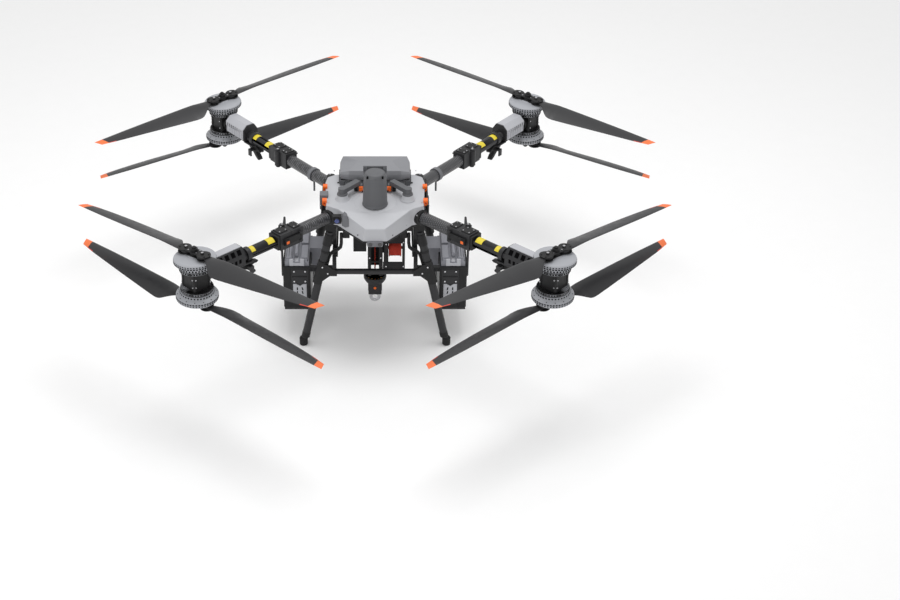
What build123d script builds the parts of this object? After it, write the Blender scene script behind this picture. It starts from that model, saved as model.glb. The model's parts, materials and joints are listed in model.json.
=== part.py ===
from build123d import *
from math import atan2, cos, degrees, hypot, radians, sin
import os

# A folding cargo drone with four arms and eight coaxial rotors. Millimetres, +Z up, nose towards -Y.
# The origin lies on the ground, midway between the four rotor axes.

# Rotor layout
ROTOR_PITCH = 1649.0        # between neighbouring rotor axes, along X and along Y
ARM_Z = 733.0               # height of the arm tubes
BLADE_RISE = 129.0          # from the arm's centre line to either blade plane
ROTOR_LEAN = 2.15           # each rotor axis leans across its arm by this many degrees
PROP_DIAMETER = 1575.0
FRONT_BLADE_ANGLE = 40.5    # resting line of the right-hand blades, from +X; the left side mirrors it
REAR_BLADE_ANGLE = 141.5

# Propeller
PIVOT_RADIUS = 53.0         # from the rotor axis to a blade's folding bolt
PIVOT_R = 8.0
EYE_R = 26.0
BLADE_ROOT_T = 11.0
NECK_WIDTH = 40.0
NECK_LENGTH = 70.0
MAX_CHORD = 114.0
LEADING_EDGE = 24.0         # ahead of the folding bolt's radial line
TIP_CHORD = 40.0
ROOT_PITCH_ANGLE = 20.0
TIP_PITCH_ANGLE = 6.0
CLAMP_END_R = 33.0
CLAMP_END_X = 62.0
CLAMP_PLATE_T = 5.0
CLAMP_WAIST = 44.0
FACE_GAP = 0.8
RUN_GAP = 0.05              # radial clearance of a turning fit

# Motor
BELL_R = 99.0
BELL_TOP = 18.0             # below the blade plane
BELL_BAND = 20.0
BELL_CONE = 14.0
BELL_NECK_R = 79.0
BELL_NECK = 13.0
BELL_WALL = 6.0
STATOR_LIP_R = 77.0
STATOR_LIP = 15.0
STATOR_GAP = 3.0
COLUMN_WIDTH = 90.0

# Arms
OUTER_TUBE_R = 28.0
INNER_TUBE_R = 30.0
TUBE_WALL = 3.0
HINGE_TO_HUB = 552.0        # along the arm, from the fold line to the rotor axis
PIN_OFFSET = 34.0           # the fold pin's distance from the tube's centre line
PIN_R = 8.0
KNUCKLE_LENGTH = 70.0
KNUCKLE_HALF_WIDTH = 37.0
KNUCKLE_HALF_HEIGHT = 42.0
EAR_R = 18.0
EAR_SPLIT = 32.0            # the inner ears start at this height, the outer ear fills the middle
FOLD_GAP = 0.5
SOCKET_LENGTH = 60.0
SOCKET_HALF_WIDTH = 38.0
SOCKET_DEPTH = 50.0         # of the tube in each end fitting
ESC_START = 292.0
ESC_LENGTH = 165.0
CRADLE_AT = 252.0
CRADLE_DROP = 88.0
LEVER_T = 8.0
LEVER_PIVOT_AT = 50.0
LEVER_PIN_R = 3.0
LEVER_EYE_R = 6.0
LEVER_REACH = 52.0
LEVER_HEIGHT = 34.0
LEVER_OFFSET = KNUCKLE_HALF_WIDTH + FOLD_GAP + LEVER_EYE_R

# Where each arm's centre line enters the body, as a distance from the middle in X and in Y
FRONT_ROOT = (220.0, 254.0)
REAR_ROOT = (255.0, 114.0)

# Body
DECK_Z = 697.0
DECK_T = 8.0
LOWER_DECK_Z = 478.0
LOWER_DECK_HALF = (214.0, 200.0)
DECK_STRIP = 28.0  # width of the strips that make the lower deck
SIDE_PLATE_T = 12.0
SIDE_PLATE_FRONT = -120.0
AVIONICS_HALF = (110.0, 150.0)
AVIONICS_FLOOR = 560.0
PAYLOAD_HOLES = (200.0, 125.0)  # half the spacing of four holes in the lower deck
PAYLOAD_HOLE_R = 3.2
SHELL_TOP = 800.0
SHELL_WALL = 4.0
SOLE_OUTLINE = [
    (58.0, -440.0), (182.0, -286.0), (247.0, -258.0),
    (257.0, 118.0), (200.0, 205.0), (110.0, 242.0),
]
SHELL_INSET = 11.0          # of the top outline from the sole outline
NOSE_SLOPE_START = -319.0
NOSE_SLOPE_DROP = 31.0
NOSE_Y = -440.0
TAIL_SLOPE_START = 62.0
TAIL_SLOPE = 0.43             # fall of the rear top face, per millimetre to the rear

DOME_Y = -250.0
DOME_R = 60.0
DOME_TOP = 975.0

CASE_HALF_X = 175.0
CASE_FRONT = -60.0
CASE_BACK = 90.0
CASE_FLOOR = 707.0
CASE_RIM = 826.0
CASE_WALL = 5.0
LID_TOP = 895.0
LID_GAP = 1.0
LID_HINGE_R = 7.0

POST_AT = (160.0, -198.0)
POST_R = 26.0
POST_TOP = 834.0
BRACKET_AT = (83.0, -106.0)
RISER_T = 26.0
RISER_R = 20.0

# Undercarriage
LEG_TOP = (222.0, 230.0, 634.0)
LEG_FOOT = (364.0, 279.0, 0.0)
LEG_R = 20.0
FOOT_R = 21.0
FOOT_HEIGHT = 45.0
CROSS_TUBE_R = 14.5
CROSS_TUBE_Z = 414.0

# Batteries
CRADLE_X = (325.0, 460.0)
CRADLE_Y = (-200.0, 110.0)
CRADLE_Z = (160.0, 414.0)
CRADLE_WALL = 5.0
HOOP_R = 6.0
HOOP_TOP = 530.0
BATTERY_TOP = 440.0
BATTERY_GAP = 2.0
BATTERY_REST = 0.3
PLUG_Y = 60.0
PLUG_WIDTH = 62.0
PLUG_FLOOR = 330.0

# Winch and hook
WINCH_Y = -30.0
DRUM_Z = 426.0
DRUM_R = 40.0
DRUM_X = (70.0, 134.0)
DRUM_FLANGE = (46.0, 5.0)
SHAFT_R = 8.0
WINCH_FLOOR = 292.0
WINCH_GEAR_FLOOR = 436.0
DRUM_FRAME_FLOOR = 334.0
ROPE_R = 4.0
HOOK_TOP = 265.0
HOOK_FLANGE_R = 58.5
HOOK_BODY_HALF = 34.0
HOOK_BODY_FLOOR = 158.0
SHACKLE_FLOOR = 107.0
SHACKLE_HALF = 28.5
SHACKLE_T = 18.0
SHACKLE_EYE_R = 14.0

# Nose camera, on the left side
CAMERA_X = (-206.0, -163.0)
CAMERA_Y = (-352.0, -322.0)
CAMERA_Z = 765.0
CAMERA_HALF_HEIGHT = 19.0
LENS_R = 15.0

CORNERS = {
    "front_left": (-1, -1),
    "front_right": (1, -1),
    "rear_left": (-1, 1),
    "rear_right": (1, 1),
}
# Seen from above, +1 turns anticlockwise. The rotors on one arm turn opposite ways.
UPPER_SPIN = {"front_left": 1, "front_right": -1, "rear_left": -1, "rear_right": 1}

nodes = {}


def block(x, y, z):
    """A box between two values on each axis."""
    size = [max(pair) - min(pair) for pair in (x, y, z)]
    middle = [(pair[0] + pair[1]) / 2 for pair in (x, y, z)]
    return Pos(*middle) * Box(*size)


def disc(radius, z0, z1, x=0.0, y=0.0):
    """An upright cylinder between two heights."""
    return Pos(x, y, (z0 + z1) / 2) * Cylinder(radius, abs(z1 - z0))


def rod(start, end, radius):
    """A round bar between two points."""
    line = Vector(*end) - Vector(*start)
    plane = Plane(origin=Vector(*start), z_dir=line)
    return plane * Pos(0, 0, line.length / 2) * Cylinder(radius, line.length)


def tube(start, end, radius, wall):
    """A round tube between two points."""
    line = Vector(*end) - Vector(*start)
    plane = Plane(origin=Vector(*start), z_dir=line)
    wall_ring = Cylinder(radius, line.length) - Cylinder(radius - wall, line.length)
    return plane * Pos(0, 0, line.length / 2) * wall_ring


def along_x(radius, x0, x1, y, z):
    """A round bar along X."""
    return rod((x0, y, z), (x1, y, z), radius)


def add(node, *solids):
    """Keep solids under a node's name."""
    kept = nodes.setdefault(node, [])
    for piece in solids:
        kept.extend(piece.solids())


def both_sides(piece):
    """A piece and its mirror image across the middle plane."""
    return piece, mirror(piece, Plane.YZ)


# ---------------------------------------------------------------- arms


def arm_place(corner):
    """The fold line's frame on an arm: X runs outward along the arm. Also its fold side and heading."""
    sx, sy = CORNERS[corner]
    root = FRONT_ROOT if sy < 0 else REAR_ROOT
    hub = (sx * ROTOR_PITCH / 2, sy * ROTOR_PITCH / 2)
    run = (hub[0] - sx * root[0], hub[1] - sy * root[1])
    length = hypot(*run)
    heading = degrees(atan2(run[1], run[0]))
    foot = (hub[0] - run[0] / length * HINGE_TO_HUB, hub[1] - run[1] / length * HINGE_TO_HUB)
    towards_rear = 1 if cos(radians(heading)) > 0 else -1
    fold_side = -sy * towards_rear
    frame = Pos(foot[0], foot[1], ARM_Z) * Rot(0, 0, heading)
    return frame, fold_side, heading, length - HINGE_TO_HUB


def outer_knuckle(side):
    """The arm's half of the fold joint, with its ear between the clevis ears."""
    body = block(
        (FOLD_GAP, KNUCKLE_LENGTH),
        (-side * KNUCKLE_HALF_WIDTH, side * PIN_OFFSET),
        (-KNUCKLE_HALF_HEIGHT, KNUCKLE_HALF_HEIGHT),
    )
    ear = disc(EAR_R, -EAR_SPLIT + FOLD_GAP, EAR_SPLIT - FOLD_GAP, 0, side * PIN_OFFSET)
    for level in (1, -1):
        body -= disc(
            EAR_R + 1.0,
            level * (EAR_SPLIT - FOLD_GAP),
            level * (KNUCKLE_HALF_HEIGHT + 1.0),
            0,
            side * PIN_OFFSET,
        )
    body += ear
    body -= disc(PIN_R + RUN_GAP, -EAR_SPLIT, EAR_SPLIT, 0, side * PIN_OFFSET)
    body -= rod((KNUCKLE_LENGTH - SOCKET_DEPTH, 0, 0), (KNUCKLE_LENGTH + 1, 0, 0), OUTER_TUBE_R)
    return body


def inner_knuckle(side):
    """The clevis that holds the fold pin, with a lug for the locking lever."""
    body = block(
        (-KNUCKLE_LENGTH, -FOLD_GAP),
        (-side * KNUCKLE_HALF_WIDTH, side * PIN_OFFSET),
        (-KNUCKLE_HALF_HEIGHT, KNUCKLE_HALF_HEIGHT),
    )
    body -= disc(EAR_R + 0.5, -EAR_SPLIT, EAR_SPLIT, 0, side * PIN_OFFSET)
    for level in (1, -1):
        body += disc(EAR_R, level * EAR_SPLIT, level * KNUCKLE_HALF_HEIGHT, 0, side * PIN_OFFSET)
    body -= disc(PIN_R, -KNUCKLE_HALF_HEIGHT, KNUCKLE_HALF_HEIGHT, 0, side * PIN_OFFSET)
    body -= rod((-KNUCKLE_LENGTH - 1, 0, 0), (SOCKET_DEPTH - KNUCKLE_LENGTH, 0, 0), INNER_TUBE_R)
    lever_y = -side * LEVER_OFFSET
    for level in (1, -1):
        body += block(
            (-LEVER_PIVOT_AT - 8, -LEVER_PIVOT_AT + 8),
            (-side * (KNUCKLE_HALF_WIDTH - 1), lever_y - side * LEVER_T),
            (level * (LEVER_HEIGHT / 2 + FOLD_GAP), level * (LEVER_HEIGHT / 2 + 7)),
        )
    lug_height = LEVER_HEIGHT / 2 + 7
    body += disc(LEVER_PIN_R, -lug_height, lug_height, -LEVER_PIVOT_AT, lever_y)
    return body


def lock_lever(side):
    """A flat lever that turns on its pivot and closes across the fold line."""
    lever_y = -side * LEVER_OFFSET
    half = LEVER_HEIGHT / 2
    inner_face = lever_y + side * LEVER_T / 2
    outer_face = lever_y - side * LEVER_T / 2
    lever = block((-LEVER_PIVOT_AT, LEVER_REACH), (inner_face, outer_face), (-half, half))
    lever += disc(LEVER_EYE_R, -half, half, -LEVER_PIVOT_AT, lever_y)
    grip_y = (outer_face + side, outer_face - side * 7)
    lever += block((LEVER_REACH - 26, LEVER_REACH), grip_y, (-half + 6, half - 6))
    lever -= disc(LEVER_PIN_R + RUN_GAP, -half, half, -LEVER_PIVOT_AT, lever_y)
    return lever


def esc_housing(side):
    """The speed controllers' housing astride the arm, and its finned cover."""
    profile = Polyline(
        (-45 * side, -20), (-45 * side, 34), (-24 * side, 66),
        (20 * side, 66), (45 * side, 42), (45 * side, -20), close=True,
    )
    section = Plane(origin=(ESC_START, 0, 0), x_dir=(0, 1, 0), z_dir=(1, 0, 0)) * make_face(profile)
    housing = extrude(section, ESC_LENGTH)
    housing -= rod((ESC_START - 1, 0, 0), (ESC_START + ESC_LENGTH + 1, 0, 0), OUTER_TUBE_R)
    cover = block((ESC_START + 8, ESC_START + ESC_LENGTH - 8), (45 * side, 50 * side), (-12, 38))
    return housing, cover


def prop_cradle():
    """A clamp under the arm with two horns that hold the folded lower blades."""
    half = 12.0
    ring = rod((CRADLE_AT - half, 0, 0), (CRADLE_AT + half, 0, 0), OUTER_TUBE_R + 7)
    ring += block((CRADLE_AT - half, CRADLE_AT + half), (-12, 12), (-52, -20))
    ring += block((CRADLE_AT - half, CRADLE_AT + half), (-42, 42), (-60, -50))
    for edge in (1, -1):
        ring += block((CRADLE_AT - half, CRADLE_AT + half), (34 * edge, 42 * edge), (-CRADLE_DROP, -50))
    ring -= rod((CRADLE_AT - half, 0, 0), (CRADLE_AT + half, 0, 0), OUTER_TUBE_R)
    return ring


def stator(up):
    """The fixed core of a motor, seen from its blade plane; up is +1 on top of the arm."""
    neck_end = -(BELL_TOP + BELL_BAND + BELL_CONE + BELL_NECK) - STATOR_GAP
    core = disc(BELL_NECK_R - BELL_WALL - 4, up * (neck_end - STATOR_LIP), -up * (BELL_TOP + BELL_WALL + 4))
    core += disc(STATOR_LIP_R, up * (neck_end - STATOR_LIP), up * neck_end)
    return core


def rotor_frame(corner, up):
    """The leaning frame of one rotor, at the middle of its blade plane."""
    frame, side, heading, _ = arm_place(corner)
    place = frame * Pos(HINGE_TO_HUB, 0, up * BLADE_RISE)
    return place * Rot(-up * side * ROTOR_LEAN, 0, 0)


for corner in CORNERS:
    frame, side, heading, inner_length = arm_place(corner)
    tube_end = HINGE_TO_HUB - COLUMN_WIDTH / 2 + 30
    outer_tube = tube((KNUCKLE_LENGTH - SOCKET_DEPTH, 0, 0), (tube_end, 0, 0), OUTER_TUBE_R, TUBE_WALL)
    add(f"arm_tube_{corner}", frame * outer_tube, frame * outer_knuckle(side))

    half = COLUMN_WIDTH / 2
    column = block((HINGE_TO_HUB - half, HINGE_TO_HUB + half), (-half, half), (-48, 48))
    column += rod((HINGE_TO_HUB - half - 24, 0, 0), (HINGE_TO_HUB - half, 0, 0), OUTER_TUBE_R + 9)
    column = frame * column
    for up in (1, -1):
        column += rotor_frame(corner, up) * stator(up)
    column -= frame * rod((0, 0, 0), (tube_end, 0, 0), OUTER_TUBE_R)
    housing, cover = esc_housing(side)
    add(f"motor_mount_{corner}", column, frame * housing, frame * cover, frame * prop_cradle())

    add("arm_knuckles", frame * inner_knuckle(side))
    pin = disc(PIN_R, -KNUCKLE_HALF_HEIGHT - 5, KNUCKLE_HALF_HEIGHT + 5, 0, side * PIN_OFFSET)
    add("hinge_pins", frame * pin)
    inner_tube = tube(
        (-inner_length - SOCKET_DEPTH, 0, 0), (SOCKET_DEPTH - KNUCKLE_LENGTH, 0, 0), INNER_TUBE_R, TUBE_WALL
    )
    add("inner_arm_tubes", frame * inner_tube)
    add(f"lock_lever_{corner}", frame * lock_lever(side))


# ---------------------------------------------------------------- rotors


def rotor(up):
    """A motor bell and the clamp that carries the two blades, about the blade plane."""
    top = -BELL_TOP
    band = top - BELL_BAND
    cone = band - BELL_CONE
    foot = cone - BELL_NECK
    outline = Polyline(
        (0, top + 3), (BELL_R * 0.6, top + 3), (BELL_R, top), (BELL_R, band),
        (BELL_NECK_R, cone), (BELL_NECK_R, foot), (BELL_NECK_R - BELL_WALL, foot),
        (BELL_NECK_R - BELL_WALL, top - BELL_WALL), (0, top - BELL_WALL), close=True,
    )
    bell = revolve(Plane.XZ * make_face(outline), Axis.Z)
    plate_low = BLADE_ROOT_T / 2 + FACE_GAP
    bell += disc(30, top, -plate_low - CLAMP_PLATE_T)
    clamp = disc(20, -plate_low, plate_low)
    for level in (1, -1):
        near = level * plate_low
        far = level * (plate_low + CLAMP_PLATE_T)
        clamp += block((-CLAMP_END_X, CLAMP_END_X), (-CLAMP_WAIST / 2, CLAMP_WAIST / 2), (near, far))
        for end in (1, -1):
            clamp += disc(CLAMP_END_R, near, far, end * CLAMP_END_X)
    for end in (1, -1):
        clamp += disc(PIVOT_R, -plate_low, plate_low + CLAMP_PLATE_T + 5, end * PIVOT_RADIUS)
    knob_foot = plate_low + CLAMP_PLATE_T
    knob = disc(17, knob_foot, knob_foot + 12) + disc(10, knob_foot + 12, knob_foot + 20)
    pieces = [bell, clamp, knob]
    if up < 0:
        pieces = [mirror(piece, Plane.XY) for piece in pieces]
    return pieces


def blade_section(radius, chord, thickness, pitch, spin):
    """A thin cambered section across the blade. Its leading edge is raised and keeps nearly one line."""
    leading = spin * (LEADING_EDGE if chord > 2 * LEADING_EDGE else chord / 2)
    trailing = leading - spin * chord
    middle = (leading + trailing) / 2
    upper = ThreePointArc((trailing, 0), (middle, thickness * 0.62), (leading, 0))
    lower = ThreePointArc((leading, 0), (middle, -thickness * 0.38), (trailing, 0))
    face = make_face(Curve() + [upper, lower])
    plane = Plane(origin=(radius, 0, 0), x_dir=(0, 1, 0), z_dir=(1, 0, 0))
    return Rot(spin * pitch, 0, 0) * (plane * face)


def blade(spin):
    """A folding blade along +X from its bolt's eye to its tip."""
    neck_end = PIVOT_RADIUS + NECK_LENGTH
    kink = neck_end + 52.0
    tip = PROP_DIAMETER / 2
    span = tip - kink
    stations = [
        (neck_end - 8, NECK_WIDTH + 6, BLADE_ROOT_T, 0.0),
        (neck_end + 20, MAX_CHORD * 0.66, BLADE_ROOT_T, ROOT_PITCH_ANGLE * 0.45),
        (kink, MAX_CHORD, BLADE_ROOT_T - 1, ROOT_PITCH_ANGLE),
    ]
    for share in (0.12, 0.3, 0.5, 0.75, 1.0):
        chord = MAX_CHORD + (TIP_CHORD - MAX_CHORD) * share
        pitch = ROOT_PITCH_ANGLE + (TIP_PITCH_ANGLE - ROOT_PITCH_ANGLE) * share ** 0.6
        stations.append((kink + span * share, chord, BLADE_ROOT_T - 1 - 7 * share, pitch))
    wing = loft([blade_section(*station, spin) for station in stations], ruled=True)
    half = BLADE_ROOT_T / 2
    root = disc(EYE_R, -half, half, PIVOT_RADIUS)
    root += block((PIVOT_RADIUS, neck_end), (-NECK_WIDTH / 2, NECK_WIDTH / 2), (-half, half))
    whole = root + wing
    whole -= disc(PIVOT_R + RUN_GAP, -half - 1, half + 1, PIVOT_RADIUS)
    return whole


blades = {spin: blade(spin) for spin in (1, -1)}
rotors = {up: rotor(up) for up in (1, -1)}

for corner, (sx, sy) in CORNERS.items():
    heading = arm_place(corner)[2]
    line = FRONT_BLADE_ANGLE if sy < 0 else REAR_BLADE_ANGLE
    if sx < 0:
        line = 180 - line
    for level, up in (("upper", 1), ("lower", -1)):
        turned = rotor_frame(corner, up) * Rot(0, 0, line - heading)
        add(f"rotor_{level}_{corner}", *[turned * piece for piece in rotors[up]])
        spin = UPPER_SPIN[corner] * up
        add(f"blade_{level}_{corner}_a", turned * blades[spin])
        add(f"blade_{level}_{corner}_b", turned * Rot(0, 0, 180) * blades[spin])


# ---------------------------------------------------------------- body


def outline_face(points, z, inset=0.0):
    """A horizontal face from one half outline, mirrored, with its edges moved inward."""
    right = [(x - inset, y + (inset if y < 0 else -inset)) for x, y in points]
    left = [(-x, y) for x, y in reversed(right)]
    return Pos(0, 0, z) * make_face(Polyline(*right, *left, close=True))


def hull_block(z0, z1, inset0, inset1):
    """The body's tapering plan shape between two heights."""
    return loft([outline_face(SOLE_OUTLINE, z0, inset0), outline_face(SOLE_OUTLINE, z1, inset1)], ruled=True)


def tail_cutter(lift):
    """What lies above the tail's sloping top face."""
    slope_end = SOLE_OUTLINE[5][1] + 20
    profile = Polyline(
        (TAIL_SLOPE_START, SHELL_TOP + lift),
        (slope_end, SHELL_TOP + lift - TAIL_SLOPE * (slope_end - TAIL_SLOPE_START)),
        (slope_end, SHELL_TOP + 60),
        (TAIL_SLOPE_START, SHELL_TOP + 60),
        close=True,
    )
    half_width = SOLE_OUTLINE[3][0]
    face = Plane(origin=(-half_width, 0, 0), x_dir=(0, 1, 0), z_dir=(1, 0, 0)) * make_face(profile)
    return extrude(face, 2 * half_width)


def nose_cutter(lift):
    """What lies above the nose's sloping top face."""
    slope_run = NOSE_SLOPE_START - NOSE_Y
    profile = Polyline(
        (NOSE_SLOPE_START, SHELL_TOP + lift),
        (NOSE_SLOPE_START - slope_run * 1.1, SHELL_TOP + lift - NOSE_SLOPE_DROP * 1.1),
        (NOSE_SLOPE_START - slope_run * 1.1, SHELL_TOP + 60),
        (NOSE_SLOPE_START, SHELL_TOP + 60),
        close=True,
    )
    half_width = SOLE_OUTLINE[2][0]
    face = Plane(origin=(-half_width, 0, 0), x_dir=(0, 1, 0), z_dir=(1, 0, 0)) * make_face(profile)
    return extrude(face, 2 * half_width)


case_outer = block((-CASE_HALF_X, CASE_HALF_X), (CASE_FRONT, CASE_BACK), (CASE_FLOOR, CASE_RIM))
leg_rods = []
for sy in (-1, 1):
    top = (LEG_TOP[0], sy * LEG_TOP[1], LEG_TOP[2])
    foot = (LEG_FOOT[0], sy * LEG_FOOT[1], LEG_FOOT[2])
    leg_rods.extend(both_sides(rod(top, foot, LEG_R)))

sockets = []
for corner in CORNERS:
    frame, side, heading, inner_length = arm_place(corner)
    socket = block(
        (-inner_length - SOCKET_LENGTH, -inner_length),
        (-SOCKET_HALF_WIDTH, SOCKET_HALF_WIDTH),
        (DECK_Z - ARM_Z, SOCKET_HALF_WIDTH),
    )
    socket -= rod((-inner_length - SOCKET_DEPTH, 0, 0), (-inner_length + 1, 0, 0), INNER_TUBE_R)
    sockets.append(frame * socket)

inside_shell = hull_block(DECK_Z, SHELL_TOP - SHELL_WALL, SHELL_WALL + 0.5, SHELL_WALL + 0.5 + SHELL_INSET)
inside_shell -= tail_cutter(-SHELL_WALL - 0.5)
chassis = hull_block(DECK_Z - DECK_T, DECK_Z, 0, 0)
core_x, core_y = AVIONICS_HALF
chassis += block((-core_x, core_x), (-core_y, core_y), (AVIONICS_FLOOR, DECK_Z - DECK_T))
deck_x, deck_y = LOWER_DECK_HALF
low_deck = (LOWER_DECK_Z - DECK_T, LOWER_DECK_Z)
strip = block((deck_x - DECK_STRIP, deck_x), (-deck_y, deck_y), low_deck)
strip += block((-1, deck_x), (deck_y - DECK_STRIP, deck_y), low_deck)
plate_x = deck_x - (DECK_STRIP - SIDE_PLATE_T) / 2
side_plate_y = (SIDE_PLATE_FRONT, deck_y)
strip += block((plate_x - SIDE_PLATE_T, plate_x), side_plate_y, (LOWER_DECK_Z, DECK_Z - DECK_T))
for piece in both_sides(strip):
    chassis += piece
for sy in (-1, 1):
    leg_mount = block(
        (LEG_TOP[0] - 26, LEG_TOP[0] + 22),
        (sy * (LEG_TOP[1] - 28), sy * (LEG_TOP[1] + 12)),
        (LEG_TOP[2] - 40, DECK_Z - DECK_T),
    )
    for piece in both_sides(leg_mount):
        chassis += piece
for socket in sockets:
    chassis += socket & inside_shell
for leg in leg_rods:
    chassis -= leg
hole_x, hole_y = PAYLOAD_HOLES
for x in (-hole_x, hole_x):
    for y in (-hole_y, hole_y):
        chassis -= disc(PAYLOAD_HOLE_R, LOWER_DECK_Z - DECK_T - 1, LOWER_DECK_Z + 1, x, y)
add("chassis_frame", chassis)

shell = hull_block(DECK_Z, SHELL_TOP, 0, SHELL_INSET)
shell -= nose_cutter(0)
shell -= tail_cutter(0)
hollow = hull_block(DECK_Z, SHELL_TOP - SHELL_WALL, SHELL_WALL, SHELL_WALL + SHELL_INSET)
hollow -= nose_cutter(-SHELL_WALL)
hollow -= tail_cutter(-SHELL_WALL)
shell -= hollow
shell -= case_outer
for corner in CORNERS:
    frame, side, heading, inner_length = arm_place(corner)
    shell -= frame * rod((-inner_length - SOCKET_LENGTH, 0, 0), (0, 0, 0), INNER_TUBE_R + 1)
add("top_shell", shell)

dome_outline = Polyline(
    (0, SHELL_TOP), (DOME_R + 4, SHELL_TOP), (DOME_R, SHELL_TOP + 14), (DOME_R - 5, DOME_TOP - 26),
    (DOME_R - 14, DOME_TOP), (0, DOME_TOP), close=True,
)
add("sensor_dome", Pos(0, DOME_Y, 0) * revolve(Plane.XZ * make_face(dome_outline), Axis.Z))

case = case_outer - block(
    (CASE_WALL - CASE_HALF_X, CASE_HALF_X - CASE_WALL),
    (CASE_FRONT + CASE_WALL, CASE_BACK - CASE_WALL),
    (CASE_FLOOR + CASE_WALL, CASE_RIM),
)
case += block((-150, 150), (CASE_FRONT - 1, CASE_FRONT - 11), (SHELL_TOP, CASE_RIM - 8))
case += block((-150, 150), (CASE_FRONT - 2, CASE_FRONT + 1), (SHELL_TOP, CASE_RIM - 8))
hinge_y = CASE_BACK + LID_HINGE_R + 1
for x in (-120, 120):
    case += along_x(LID_HINGE_R, x - 12, x + 12, hinge_y, CASE_RIM)
    case += block((x - 12, x + 12), (CASE_BACK - 1, hinge_y), (CASE_RIM - 22, CASE_RIM - 2))
add("parachute_case", case)

lid_foot = CASE_RIM + LID_GAP
lid_middle_y = (CASE_FRONT + CASE_BACK) / 2
lid_depth = CASE_BACK - CASE_FRONT


def lid_block(shrink):
    """The lid's bevelled block, smaller all round by a wall when it is the hollow."""
    low = Pos(0, lid_middle_y, lid_foot) * Rectangle(2 * (CASE_HALF_X - shrink), lid_depth - 2 * shrink)
    shoulder_size = (2 * (CASE_HALF_X - 6 - shrink), lid_depth - 10 - 2 * shrink)
    shoulder = Pos(0, lid_middle_y, lid_foot + 26) * Rectangle(*shoulder_size)
    crown = Pos(0, lid_middle_y + 20, LID_TOP - shrink) * Rectangle(2 * (CASE_HALF_X - 38 - shrink), 50)
    return loft([low, shoulder], ruled=True) + loft([shoulder, crown], ruled=True)


lid = lid_block(0) - lid_block(CASE_WALL)
for x in (-94, 94):
    lid += along_x(LID_HINGE_R, x - 12, x + 12, hinge_y, CASE_RIM)
    lid += block((x - 12, x + 12), (CASE_BACK - 3, hinge_y), (CASE_RIM + 2, CASE_RIM + 9))
add("parachute_lid", lid)

for sx in (1, -1):
    post = disc(POST_R, SHELL_TOP, POST_TOP, sx * POST_AT[0], POST_AT[1])
    cap = disc(RISER_R, POST_TOP, POST_TOP + RISER_T, sx * POST_AT[0], POST_AT[1])
    run = (sx * BRACKET_AT[0] - sx * POST_AT[0], BRACKET_AT[1] - POST_AT[1])
    reach = hypot(*run)
    cover = block((0, reach), (-16, 16), (0, RISER_T - 4))
    cover = Pos(sx * POST_AT[0], POST_AT[1], POST_TOP) * Rot(0, 0, degrees(atan2(run[1], run[0]))) * cover
    bracket_x = (sx * BRACKET_AT[0] - 22, sx * BRACKET_AT[0] + 22)
    bracket_y = (BRACKET_AT[1] - 14, BRACKET_AT[1] + 14)
    bracket = block(bracket_x, bracket_y, (SHELL_TOP, POST_TOP))
    add("riser_covers", post, cap + cover, bracket)

hook_blocks = []
for y in (-80, -225):
    clip = block((236, 258), (y - 14, y + 14), (782, 812))
    clip -= rod((248, y - 15, 796), (248, y + 15, 796), 6)
    clip = max((clip - shell).solids(), key=lambda piece: piece.volume)
    hook_blocks.extend(both_sides(clip))
riser_clip = block((59, 79), (-134, -124), (SHELL_TOP + 6, POST_TOP - 4))
hook_blocks.extend(both_sides(riser_clip.cut(*nodes["riser_covers"])))
add("tie_hooks", *hook_blocks)


# ---------------------------------------------------------------- undercarriage

below_foot = block((-500, 500), (-500, 500), (-60, FOOT_HEIGHT))
for sy in (-1, 1):
    foot = (LEG_FOOT[0], sy * LEG_FOOT[1])
    add("foot_pads", *both_sides(disc(FOOT_R, 0, FOOT_HEIGHT, *foot)))
    share = (LEG_TOP[2] - CROSS_TUBE_Z) / (LEG_TOP[2] - LEG_FOOT[2])
    cross_y = sy * (LEG_TOP[1] + (LEG_FOOT[1] - LEG_TOP[1]) * share)
    cross_x = LEG_TOP[0] + (LEG_FOOT[0] - LEG_TOP[0]) * share
    bar = along_x(CROSS_TUBE_R, -cross_x, cross_x, cross_y, CROSS_TUBE_Z)
    for leg in leg_rods:
        bar -= leg
    add("cross_tubes", max(bar.solids(), key=lambda piece: piece.volume))
add("landing_legs", *[leg - below_foot for leg in leg_rods])

low_x, high_x = CRADLE_X
low_y, high_y = CRADLE_Y
floor_z, rim_z = CRADLE_Z
cradle = block((low_x, high_x), (low_y, high_y), (floor_z, rim_z))
cradle -= block(
    (low_x + CRADLE_WALL, high_x - CRADLE_WALL),
    (low_y + CRADLE_WALL, high_y - CRADLE_WALL),
    (floor_z + CRADLE_WALL, rim_z),
)
hoop_x = high_x + HOOP_R - 1
cradle += rod((hoop_x, low_y + 14, rim_z - 60), (hoop_x, low_y + 14, HOOP_TOP), HOOP_R)
cradle += rod((hoop_x, high_y - 14, rim_z - 60), (hoop_x, high_y - 14, HOOP_TOP), HOOP_R)
cradle += rod((hoop_x, low_y + 14, HOOP_TOP), (hoop_x, high_y - 14, HOOP_TOP), HOOP_R)
for y in (low_y + 20, high_y - 20):
    cradle += block((deck_x - 20, low_x + 1), (y - 12, y + 12), (rim_z - 34, rim_z - 10))
    cradle += block((deck_x - 20, deck_x), (y - 12, y + 12), (rim_z - 34, LOWER_DECK_Z - DECK_T))
add("battery_cradles", *both_sides(cradle))

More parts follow.
